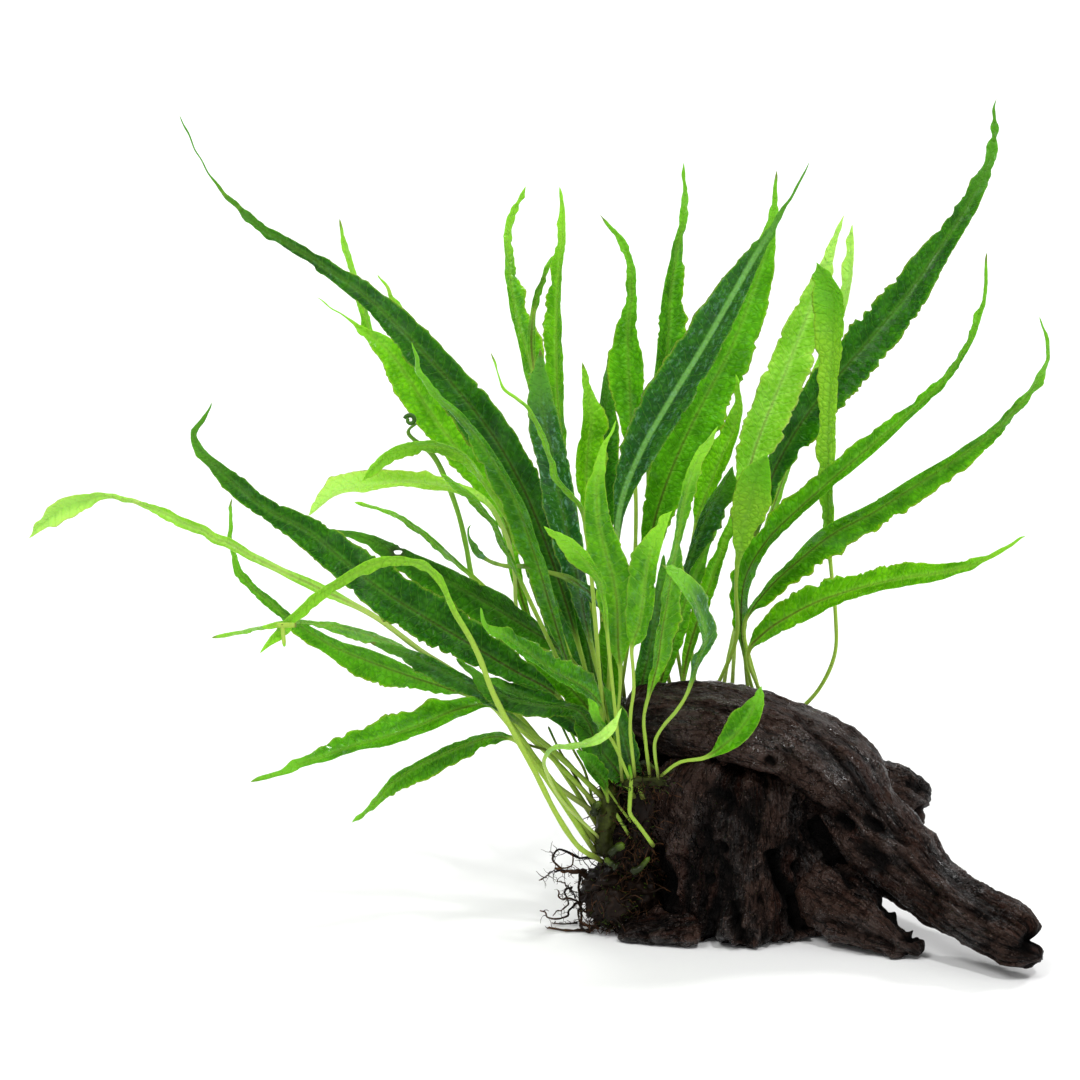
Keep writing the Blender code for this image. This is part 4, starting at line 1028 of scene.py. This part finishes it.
def add_wood(part, nodes, drawn_axis, material, rows, around, cap, depth, swell=0.0, lumps=1.0):
    """One limb of driftwood, worked out along rays from its axis.

    The solid's smooth skin is grooved by the grain, lumped, and hollowed.
    """
    rows = (COARSE_ROWS - 1) * round(rows / (COARSE_ROWS - 1)) + 1
    around = COARSE_AROUND * round(around / COARSE_AROUND)
    starts, rays, turn = rays_from_axis(drawn_axis, cap, rows, around)
    radius = skin_radius(starts, rays, nodes)
    skin = starts[:, None] + rays * radius[..., None]
    travel = lengths_along(skin[:, ::9].mean(axis=1))
    along = (travel + 3.0 * np.abs(np.linspace(-1, 1, rows)) ** 8)[:, None]
    seed = float(len(part)) * 3.7
    turns = np.broadcast_to(turn, radius.shape)
    usual_radius = np.median(radius)
    from_end = np.minimum(np.linspace(0, 1, rows), np.linspace(1, 0, rows))
    fade = smooth_step(0.0, 0.5 * cap, from_end)
    relief = grain(along, turns, usual_radius, seed, depth) * (0.35 + 0.65 * fade[:, None])
    for size, high in LUMP_LAYERS:
        relief += high * lumps * noise(*(np.moveaxis(skin, -1, 0) / size), int(size * 10))
    missing = hollowed(skin, rays, HOLLOWS[part])
    thin = np.minimum(1.0, radius / 6.0)
    new_radius = np.maximum(radius + swell + relief * thin - missing, 0.35 * radius)
    rings = starts[:, None] + rays * new_radius[..., None]
    rings[..., 2] = np.maximum(rings[..., 2], 0.02)
    # cut is how deep a point lies in a hollow or groove; it paints shade there, makes the wood rougher
    # and keeps the wet film off.
    cut = np.clip(missing / 2.5 + np.clip(-relief, 0, 3) / 6.0, 0, 1)
    # crest is how far a point stands out of the skin, and paints a highlight there.
    crest = np.clip(0.5 + relief / 2.0, 0, 1)
    marks = {
        "wood_mm": stacked(along, turns * usual_radius, seed),
        "wood_form": stacked(cut, crest, 0.0),
    }
    add_piece("wood_" + part, rings, marks, material, nodes)


# Colours of wet bogwood, from its deep fibres to the pale grit on it.
FIBRE_DARK = (0.0012, 0.0007, 0.0005, 1)
FIBRE_BROWN = (0.0100, 0.0044, 0.0028, 1)
STREAK_RED = (0.0300, 0.0088, 0.0044, 1)
PATCH_GREY = (0.0150, 0.0078, 0.0052, 1)
# Painted highlight: a paler brown laid on the raised crests where light catches them.
CREST_PAINTED_HIGHLIGHT = (0.0460, 0.0240, 0.0170, 1)
GRIT_PALE = (0.1300, 0.0900, 0.0750, 1)
CRACK_BLACK = (0.0010, 0.0007, 0.0005, 1)
# Painted shade: near black laid in the hollows and grooves.
HOLLOW_PAINTED_SHADE = (0.0010, 0.0008, 0.0007, 1)


def along_grain(w, at, length, width, detail, roughness):
    """Noise drawn out along the grain, from its length and width in mm."""
    place = w.vector(w.math("DIVIDE", at.along, length), w.math("DIVIDE", at.around, width), at.seed)
    return w.noise(place, 1.0, detail, roughness)


def wood_pattern(w):
    """The marks of a limb, and the patterns that its colour, wetness and height share."""
    at = SimpleNamespace()
    at.along, at.around, at.seed = w.parts(w.mark("wood_mm"))
    at.cut, at.crest, _ = w.parts(w.mark("wood_form"))
    at.place = w.add("ShaderNodeTexCoord").outputs["Object"]
    at.fibre = along_grain(w, at, 9.0, 1 / 1.3, 6, 0.62)
    at.patch = w.noise(at.place, 60.0, 4, 0.6)
    at.grit = w.noise(at.place, 1500.0, 3, 0.6)
    split = w.math("SUBTRACT", along_grain(w, at, 17.0, 2.4, 4, 0.6), 0.5)
    at.crack = w.ramp(w.math("ABSOLUTE", split), 0.0, 0.016, 1.0, 0.0)
    return at


def wood_colour(w, at):
    """Dark fibres with reddish streaks, grey patches, a painted highlight on the crests, pale grit,
    black cracks, and painted shade in the hollows and grooves.
    """
    streak = along_grain(w, at, 26.0, 3.0, 4, 0.6)
    colour = w.mix(w.ramp(at.fibre, 0.38, 0.66), FIBRE_DARK, FIBRE_BROWN)
    # The crest colour here is a painted highlight on the ridges.
    for mask, low, high, share, tint in (
        (streak, 0.50, 0.68, 0.70, STREAK_RED), (at.patch, 0.45, 0.68, 0.40, PATCH_GREY),
        (at.crest, 0.55, 0.95, 0.50, CREST_PAINTED_HIGHLIGHT), (at.grit, 0.60, 0.69, 0.55, GRIT_PALE),
    ):
        colour = w.mix(w.math("MULTIPLY", w.ramp(mask, low, high), share), colour, tint)
    colour = w.mix(w.math("MULTIPLY", at.crack, 0.85), colour, CRACK_BLACK)
    # Painted shade: the hollows and grooves turn near black, the deeper the darker.
    return w.mix(w.ramp(at.cut, 0.10, 0.75, 0.0, 0.94), colour, HOLLOW_PAINTED_SHADE)


def wood_height(w, at):
    """Fibres, grit, raised flakes and pits, cut by the cracks."""
    flake = w.ramp(along_grain(w, at, 3.5, 1 / 0.75, 3, 0.6), 0.45, 0.53, 0.0, 1.2)
    pits = w.add("ShaderNodeTexVoronoi", Vector=at.place, Scale=900.0).outputs["Distance"]
    height = w.math("ADD", at.fibre, w.math("MULTIPLY", at.grit, 0.45))
    height = w.math("SUBTRACT", w.math("ADD", height, flake), at.crack)
    return w.math("ADD", height, w.ramp(pits, 0.0, 0.35, 0.0, 0.22))


def wood_group():
    """Colour, roughness, height and wet film of dark bogwood."""
    group = new_group("wood_surface", {}, SURFACE_OUTPUTS)
    w = Wiring(group)
    out = w.add("NodeGroupOutput")
    at = wood_pattern(w)
    rough = w.math("ADD", w.ramp(at.fibre, 0.3, 0.7, 0.22, 0.40),
                   w.ramp(at.patch, 0.4, 0.65, 0.0, 0.20))
    rough = w.math("ADD", rough, w.math("MULTIPLY", at.cut, 0.4), clamp=True)
    film = w.math("MULTIPLY", w.ramp(w.noise(at.place, 130.0, 3), 0.44, 0.60, 0.15, 0.9),
                  w.ramp(at.cut, 0.1, 0.5, 1.0, 0.0))
    w.feed(out, Color=wood_colour(w, at), Roughness=rough, Height=wood_height(w, at), Wet=film)
    return group


def wood_material(surface):
    """Dark driftwood, wet enough to shine on its ridges."""
    material, w, shader = new_material("wet_wood")
    look = w.add("ShaderNodeGroup", {"node_tree": surface})
    bump = w.add("ShaderNodeBump", Strength=1.0, Distance=0.0012, Height=look.outputs["Height"])
    w.feed(shader, Base_Color=look.outputs["Color"], Roughness=look.outputs["Roughness"],
           Normal=bump.outputs[0], Specular_IOR_Level=0.08, Coat_Weight=look.outputs["Wet"],
           Coat_Roughness=0.11, Coat_IOR=WATER_IOR, Coat_Normal=bump.outputs[0])
    return material


def carve_driftwood(material):
    """The five limbs of the driftwood, each along its own axis."""
    add_wood("top_and_limb", ("driftwood_top_slab", "driftwood_long_limb"),
             [(-15, 57.3, 0), (-4, 56.6, -1), (8, 53.5, -2.5), (18, 49, -3.5), (27, 43, -5),
              (34, 35.5, -7.5), (40, 28.5, -11), (46, 21.5, -16), (52, 16, -22), (58, 11.8, -28),
              (64, 8.6, -34), (70, 5, -39), (74.5, 2.2, -43)],
             material, 320, 180, cap=0.05, depth=0.85, lumps=0.65)
    add_wood("lump", ("driftwood_trunk",),
             [(7, 9, -4), (7.5, 24, -4), (8, 39, -4)],
             material, 200, 180, cap=0.27, depth=1.4, lumps=1.45, swell=0.3)
    add_wood("short_limb", ("driftwood_short_limb",),
             [(27, 14.5, -14.5), (33, 10.5, -19.5), (39, 6.3, -24), (44, 3, -28), (47.5, 0.6, -30.5)],
             material, 120, 108, cap=0.12, depth=0.9, swell=0.3, lumps=1.1)
    add_wood("back_plank", ("driftwood_back_plank",),
             [(24, 38, 15), (31, 38.5, 17), (38, 38, 19), (45.5, 36.5, 20.2)],
             material, 120, 108, cap=0.16, depth=0.8, swell=0.3, lumps=1.2)
    add_wood("left_foot", ("driftwood_left_foot",),
             [(-6, 4.8, -14), (-11, 4, -15), (-17, 3.4, -16), (-22, 3.6, -15.5)],
             material, 80, 72, cap=0.15, depth=0.8, swell=0.2, lumps=1.5)


# ---------------------------------------------------------------- stems, roots and moss

def tubes_mesh(name, lines, radii, around=5):
    """Many thin tubes in one mesh: each ring is a circle square to its line."""
    lines = np.asarray(lines, float)
    ahead = unit(np.gradient(lines, axis=1))
    side = unit(np.cross(ahead, (0.31, 0.87, 0.38)))
    face = np.cross(side, ahead)
    turn = np.linspace(0, 2 * pi, around, endpoint=False)
    circle = (np.cos(turn)[:, None] * side[:, :, None] + np.sin(turn)[:, None] * face[:, :, None])
    rings = lines[:, :, None] + circle * np.asarray(radii)[:, :, None, None]
    strands, count = rings.shape[:2]
    one_corners, one_quads, one_fans = closed_grid(rings[0])
    size = len(one_corners)
    ends = rings[:, [0, -1]].mean(axis=2)
    corners = np.concatenate([rings.reshape(strands, -1, 3), ends], axis=1).reshape(-1, 3)
    shift = (np.arange(strands) * size)[:, None, None]
    quads = (one_quads[None] + shift).reshape(-1, 4)
    fans = (one_fans[None] + shift).reshape(-1, 3)
    quads, fans = turned_outward(corners, quads, fans)
    run = np.broadcast_to(np.linspace(0, 1, count)[None, :, None], (strands, count, around))
    luck = np.broadcast_to(noise(np.arange(strands) * 3.7)[:, None, None] * 0.5 + 0.5, run.shape)
    flat = np.stack([run, luck, np.zeros(run.shape)], axis=-1).reshape(strands, -1, 3)
    tips = np.zeros((strands, 2, 3))
    tips[:, 1, 0] = 1.0
    tips[..., 1] = luck[:, :2, 0]
    marks = {"strand": np.concatenate([flat, tips], axis=1).reshape(-1, 3)}
    return mesh_from(name, corners, quads, fans, marks)


def wandering(starts, heading, length, count, rng, bend=0.8, pull=(0, 0, 0)):
    """Lines that set out along a heading and drift: each step adds a little random turn."""
    steps = length[:, None] / (count - 1)
    here, ahead = starts.copy(), unit(heading)
    rows = [here.copy()]
    drift = rng.normal(0, 1, here.shape)
    for _ in range(count - 1):
        drift = 0.6 * drift + rng.normal(0, 1, here.shape)
        ahead = unit(ahead + bend * 0.35 * drift + 0.12 * np.asarray(pull))
        here = here + ahead * steps
        here[:, 2] = np.maximum(here[:, 2], 0.5)
        rows.append(here.copy())
    return np.stack(rows, axis=1)


def strand_material(name, dark, light, tip, rough, specular):
    """A thin strand, dark at its foot and lighter at its tip, each one a little different."""
    material, w, shader = new_material(name)
    run, luck, _ = w.parts(w.mark("strand"))
    place = w.add("ShaderNodeTexCoord").outputs["Object"]
    grain_here = w.noise(place, 900.0, 3)
    colour = w.mix(luck, rgba(dark), rgba(light))
    colour = w.mix(w.ramp(run, 0.4, 1.0, 0.0, 0.8), colour, rgba(tip))
    colour = w.mix(w.ramp(grain_here, 0.35, 0.7, 0.55, 0.0), colour, rgba(dark))
    bump = w.add("ShaderNodeBump", Strength=0.5, Distance=0.0002, Height=grain_here)
    roughness = w.ramp(grain_here, 0.3, 0.7, rough - 0.15, rough + 0.15)
    w.feed(shader, Base_Color=colour, Roughness=roughness, Specular_IOR_Level=specular,
           Normal=bump.outputs[0])
    return material


STRAND_LOOKS = {
    # dark, light, tip, roughness, specular
    "stem_skin": ((0.012, 0.013, 0.002), (0.040, 0.052, 0.006), (0.080, 0.110, 0.012), 0.5, 0.12),
    "root_skin": ((0.0045, 0.0030, 0.0022), (0.022, 0.0100, 0.0050), (0.120, 0.050, 0.018), 0.5, 0.10),
    "moss_skin": ((0.006, 0.008, 0.003), (0.026, 0.042, 0.004), (0.095, 0.160, 0.014), 0.5, 0.10),
    "bud_skin": ((0.010, 0.016, 0.002), (0.060, 0.100, 0.007), (0.110, 0.190, 0.012), 0.4, 0.20),
    "curl_skin": ((0.030, 0.090, 0.010), (0.08, 0.22, 0.02), (0.10, 0.26, 0.03), 0.4, 0.15),
}


# The axes of the creeping stems, in mm.
RHIZOME_LINES = {
    "rhizome_left": [(-29, -15, 21), (-29, -17, 28), (-28, -18, 35), (-28, -14, 41), (-29, -5, 45),
                     (-29, 5, 48), (-27, 14, 51), (-22, 20, 52)],
    "rhizome_back": [(-16, 21, 52), (-8, 22, 52), (2, 22, 51), (12, 21, 48), (20, 19, 45)],
    "rhizome_front": [(-25, -24, 42), (-20, -25, 43), (-14, -25.5, 43)],
}


def add_rhizomes(material):
    """Creeping stems: tubes with a scaly skin, rows of swollen rings and blunt ends."""
    for seed, (node, places) in enumerate(RHIZOME_LINES.items()):
        line = even_curve(np.array(places, float), 24)
        line = even_curve(line, int(lengths_along(line)[-1] / 0.4))
        side, face = carried_frames(line, (1, 0, 0))
        along = lengths_along(line)
        end = np.minimum(along, along[-1] - along)
        turn = np.linspace(0, 2 * pi, 28, endpoint=False)
        scales = np.abs(np.sin(along[:, None] * 1.5 + 2.0 * turn)) * np.abs(np.sin(3 * turn + 0.4))
        lumps = noise(along[:, None] / 2.2, 1.6 * np.cos(turn), 1.6 * np.sin(turn) + 9 * seed)
        stout = 1.1 if node == "rhizome_front" else 2.3
        radius = (stout + 0.2 * scales + 0.5 * lumps) * np.sqrt(np.clip(end / 2.0, 0.001, 1))[:, None]
        rings = line[:, None] + radius[..., None] * (
            np.cos(turn)[:, None] * side[:, None] + np.sin(turn)[:, None] * face[:, None])
        run = stacked(0.5 + 0.3 * lumps, 0.5 + 0.5 * lumps, 0.0)
        add_piece(node + "_scaly", rings, {"strand": run}, material, [node])


# Loose roots as the eye sees them: depth, thickness, and places across and up.
LOOSE_ROOTS = (
    (-7, 0.42, [(-29, 22), (-33, 23), (-36, 23.2), (-40, 25.2), (-41.8, 22.9), (-40, 20.8),
                (-37.2, 21.1), (-36.6, 24.4)]),
    (-6, 0.85, [(-29, 17.6), (-32, 18.4), (-35, 19.4), (-38.5, 19.6), (-41, 20.2)]),
    (-6, 0.28, [(-39, 19.8), (-42.5, 19.3), (-45, 17.4)]),
    (-9, 0.42, [(-31, 9), (-34, 10), (-36.7, 12.8), (-40, 12.8), (-40.6, 15)]),
    (-4, 0.38, [(-31, 12), (-34, 12), (-36.7, 11.2), (-38.4, 8.7), (-41.7, 7.9), (-45, 10)]),
    (-8, 0.50, [(-27, 8), (-29.2, 7), (-33.4, 4.7), (-36.7, 4.6), (-40.8, 3.9), (-43.3, 0.6)]),
    (-5, 0.45, [(-33, 20), (-35, 19), (-34.8, 11), (-34.2, 3.2), (-31, 3.6), (-30.2, 6)]),
    (-9, 0.34, [(-35, 6), (-33, 2.6), (-30.5, 1.6)]),
    (-6, 0.30, [(-36.8, 16), (-39, 14.4), (-38, 11.5), (-42, 8.6)]),
    (-3, 0.26, [(-35.6, 5), (-38, 2.6), (-42.2, 2.2)]),
    (-10, 0.36, [(-33, 14), (-35.5, 9), (-32.6, 5.4)]),
    (-7, 0.24, [(-36, 13), (-38.6, 16.4), (-40.8, 17.4)]),
)
# Young shoots among the roots: depth, thickness, and places across and up.
SHOOTS = (
    (-20, 1.20, [(-27.6, 23.8), (-26.0, 25.4), (-23.8, 26.4)]),
    (-19, 0.95, [(-25.6, 20.6), (-27.2, 21.6), (-28.8, 22.9)]),
    (-20, 1.00, [(-22.4, 19.6), (-20.2, 20.3), (-17.6, 23.2)]),
    (-21, 1.25, [(-31.2, 33.4), (-31.4, 35.4), (-29.8, 37.2)]),
    (-22, 0.85, [(-20.6, 46.2), (-18.4, 46.6), (-16.2, 45.2)]),
)


# Lumps of felt between the stems and the wood: (across, up, depth) and half sizes.
FELT_LUMPS = (
    ("felt_knot", (-23.5, 47, -5), (5.5, 6, 6.5)), ("felt_low", (-20.5, 15, -6), (5.5, 7, 6.5)),
    ("felt_middle", (-25.5, 31, -9), (4.5, 6, 10)), ("felt_front", (-20, 35, -18), (3, 2.5, 8)),
    ("felt_foot", (-27, 11, -12), (5, 4.5, 5)), ("felt_gap", (-17, 48, 0), (4, 5, 5)),
    ("felt_side", (-17, 22, 0), (4.5, 7, 8.5)), ("felt_under", (-22.5, 23, -8), (4.5, 5, 6)),
)


def add_felt(finish):
    """The felted lumps, and rows of a skin point and its outward direction for their hairs."""
    turn = np.linspace(0, 2 * pi, 48, endpoint=False)
    lean = np.linspace(-pi / 2 + 0.03, pi / 2 - 0.03, 40)[:, None]
    ball = stacked(np.cos(lean) * np.cos(turn), np.cos(lean) * np.sin(turn), np.sin(lean))
    lumps = []
    for node in ("root_mass", "root_mat"):
        low, high = (np.array(c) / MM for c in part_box(node))
        aside = np.array([1.5, 0, 0]) * (node == "root_mat")
        lumps.append((node, 0.5 * (low + high) - aside, 0.55 * (high - low) - 0.6 * aside, [node]))
    for name, centre, half in FELT_LUMPS:
        lumps.append((name, from_board(centre), np.array(half), []))
    skins = []
    for seed, (name, middle, half, nodes) in enumerate(lumps):
        swell = 1.0 + 0.24 * noise(*(2.0 * np.moveaxis(ball, -1, 0)), seed)
        swell += 0.16 * noise(*(4.5 * np.moveaxis(ball, -1, 0)), seed + 3)
        swell += 0.08 * noise(*(10.0 * np.moveaxis(ball, -1, 0)), seed + 5)
        rings = middle + ball * half * swell[..., None]
        rings[..., 2] = np.maximum(rings[..., 2], 0.05)
        run = stacked(0.1, np.clip(swell - 0.7, 0, 1), 0.0)
        add_piece(name + "_core", rings, {"strand": run}, finish, nodes)
        skins.append(np.concatenate([rings.reshape(-1, 3), (ball * half).reshape(-1, 3)], axis=1))
    return np.vstack(skins)


def sprout(name, where, count, lengths, widths, finish, rng, bend=1.2, pull=(0, 0, -1.0)):
    """Many short strands that leave a skin at random places."""
    points = 7
    pick = rng.integers(0, len(where), count)
    out = unit(where[pick, 3:]) + rng.normal(0, 0.7, (count, 3))
    lines = wandering(where[pick, :3], out, rng.uniform(*lengths, count), points, rng, bend, pull)
    thin = np.linspace(1.0, 0.35, points)[None] * rng.uniform(*widths, (count, 1))
    place_piece(name, tubes_mesh(name, lines, thin, 3), finish)


def add_loose_roots(finish, rng):
    """The long dark roots that hang free, with fine hairs on them."""
    lines, widths = [], []
    run = np.arange(40)
    for depth, thick, drawn in LOOSE_ROOTS:
        flat = even_curve(np.column_stack([drawn, np.zeros(len(drawn))]), len(run))
        kink = 0.35 * stacked(noise(run / 3.0, depth + thick * 90),
                              noise(run / 3.0, depth - thick * 70))
        deep = depth + 2.5 * noise(run / 12.0, thick * 50)
        lines.append(from_board(np.column_stack([flat[:, :2] + kink, deep])))
        taper = np.linspace(1.0, 0.45, len(run)) * (1 + 0.25 * noise(run / 2.0, thick * 40))
        widths.append(thick * taper)
    lines, widths = np.array(lines), np.array(widths)
    lines[..., 2] = np.maximum(lines[..., 2], widths + 0.02)
    place_piece("loose_roots", tubes_mesh("loose_roots", lines, widths, 7), finish)

    count, points = 170, 7
    feet = lines[:, 6:].reshape(-1, 3)
    pick = rng.integers(0, len(feet), count)
    out = unit(rng.normal(0, 1, (count, 3)))
    hairs = wandering(feet[pick], out, rng.uniform(1.0, 4.0, count), points, rng, 1.2,
                      (-0.4, 0, -0.6))
    thin = np.linspace(1.0, 0.5, points)[None] * rng.uniform(0.06, 0.13, (count, 1))
    place_piece("loose_root_hairs", tubes_mesh("loose_root_hairs", hairs, thin), finish)


def add_shoots(finish):
    """Young shoots: short, plump and a little lumpy, with blunt ends."""
    step = np.arange(20)
    last = len(step) - 1
    for number, (depth, thick, drawn) in enumerate(SHOOTS, 1):
        flat = even_curve(np.column_stack([drawn, np.full(len(drawn), depth)]), len(step))
        plump = thick * (1 + 0.4 * noise(step / 2.4, number)) * np.linspace(1.0, 0.6, len(step))
        plump *= np.sqrt(np.clip(np.minimum(step, last - step) / 2.0 + 0.05, 0, 1))
        mesh = tubes_mesh(f"young_shoot_{number}", from_board(flat)[None], plump[None], 14)
        place_piece(f"young_shoot_{number}", mesh, finish)


def add_roots(root_finish, moss_finish, bud_finish):
    """The felted root ball, hair roots, moss and shoots round the foot of the lower stalks."""
    rng = np.random.default_rng(7)
    upward = (0, 0, 0.3)
    felt = add_felt(root_finish)
    sprout("root_felt_hairs", felt, 1700, (2.0, 7.0), (0.10, 0.28), root_finish, rng)
    sprout("moss_tufts", felt, 1200, (0.7, 2.2), (0.10, 0.22), moss_finish, rng, 0.9, upward)
    stem = np.vstack([even_curve(np.array(places, float), 12 * len(places))
                      for places in RHIZOME_LINES.values()])
    stem = np.repeat(stem, 8, axis=0)
    out = unit(rng.normal(0, 1, stem.shape))
    stem = np.concatenate([stem + 2.0 * out, out], axis=1)
    sprout("rhizome_root_wisps", stem, 480, (1.5, 6.0), (0.10, 0.24), root_finish, rng)
    sprout("rhizome_moss", stem, 520, (0.6, 2.0), (0.10, 0.20), moss_finish, rng, 0.9, upward)
    add_loose_roots(root_finish, rng)
    add_shoots(bud_finish)


# ---------------------------------------------------------------- the view

def pale_floor():
    """A wide pale disc just under the wood, whose far rim curves up a little."""
    around, drop = 96, 0.0002
    turn = np.linspace(0, 2 * pi, around, endpoint=False)
    radius = np.concatenate([[0.5, 2.0, 8.0, 20.0], np.linspace(25.0, 45.0, 12)])[:, None]
    lift = 2.5 * smooth_step(24.0, 46.0, radius) - drop
    rings = stacked(radius * np.cos(turn), radius * np.sin(turn), lift)
    corners = np.vstack([rings.reshape(-1, 3), (0, 0, -drop)])
    step = np.arange(around)
    after = (step + 1) % around
    row = np.arange(len(radius) - 1)[:, None] * around
    quads = stacked(row + step, row + around + step, row + around + after, row + after)
    fans = np.column_stack([step, after, np.full(around, len(corners) - 1)])
    mesh = mesh_from("floor", corners / MM, quads.reshape(-1, 4), fans)
    floor = bpy.data.objects.new("floor", mesh)
    bpy.context.scene.collection.objects.link(floor)
    material, w, shader = new_material("pale_floor")
    w.feed(shader, Base_Color=(0.86, 0.86, 0.86, 1), Roughness=0.8)
    mesh.materials.append(material)


LAMPS = (
    # name, the way its light comes from, how wide it looks in degrees, strength
    ("lamp_above_left", (-0.55, -0.70, 1.0), 22, 1.3),
    ("lamp_glint", (0.25, -0.60, 1.0), 5, 1.1),
    ("lamp_right", (0.90, -0.45, 0.45), 35, 0.4),
    ("lamp_behind", (-0.10, 1.00, 0.80), 30, 0.7),
    ("lamp_rim", (0.85, 0.70, 0.95), 8, 0.9),
)


def soft_lights():
    """A pale room and far lamps: above left, above, right, behind, and on the right rim."""
    world = bpy.data.worlds.new("pale_room")
    bpy.context.scene.world = world
    world.use_nodes = True
    world.node_tree.nodes["Background"].inputs[0].default_value = (1, 1, 1, 1)
    world.node_tree.nodes["Background"].inputs[1].default_value = 0.55
    for name, place, width, strength in LAMPS:
        data = bpy.data.lights.new(name, "SUN")
        data.angle = radians(width)
        data.energy = strength
        lamp = bpy.data.objects.new(name, data)
        bpy.context.scene.collection.objects.link(lamp)
        lamp.rotation_euler = Vector(place).to_track_quat("Z", "Y").to_euler()


def view_camera():
    """The camera at the eye point, aimed at the middle of the plant."""
    data = bpy.data.cameras.new("camera")
    data.sensor_width = SENSOR_WIDTH
    data.lens = FOCAL_LENGTH
    camera = bpy.data.objects.new("camera", data)
    bpy.context.scene.collection.objects.link(camera)
    back = np.array([0.0, -cos(VIEW_LEAN), sin(VIEW_LEAN)])
    camera.location = Vector(VIEW_CENTRE + EYE_DISTANCE * back)
    camera.rotation_euler = (pi / 2 - VIEW_LEAN, 0, 0)
    bpy.context.scene.camera = camera


view_camera()
pale_floor()
soft_lights()
grow_fronds(leaf_group())
carve_driftwood(wood_material(wood_group()))
skins = {name: strand_material(name, *look) for name, look in STRAND_LOOKS.items()}
add_rhizomes(skins["stem_skin"])
add_curl(skins["curl_skin"])
add_roots(skins["root_skin"], skins["moss_skin"], skins["bud_skin"])
bpy.context.scene.view_settings.view_transform = "Standard"
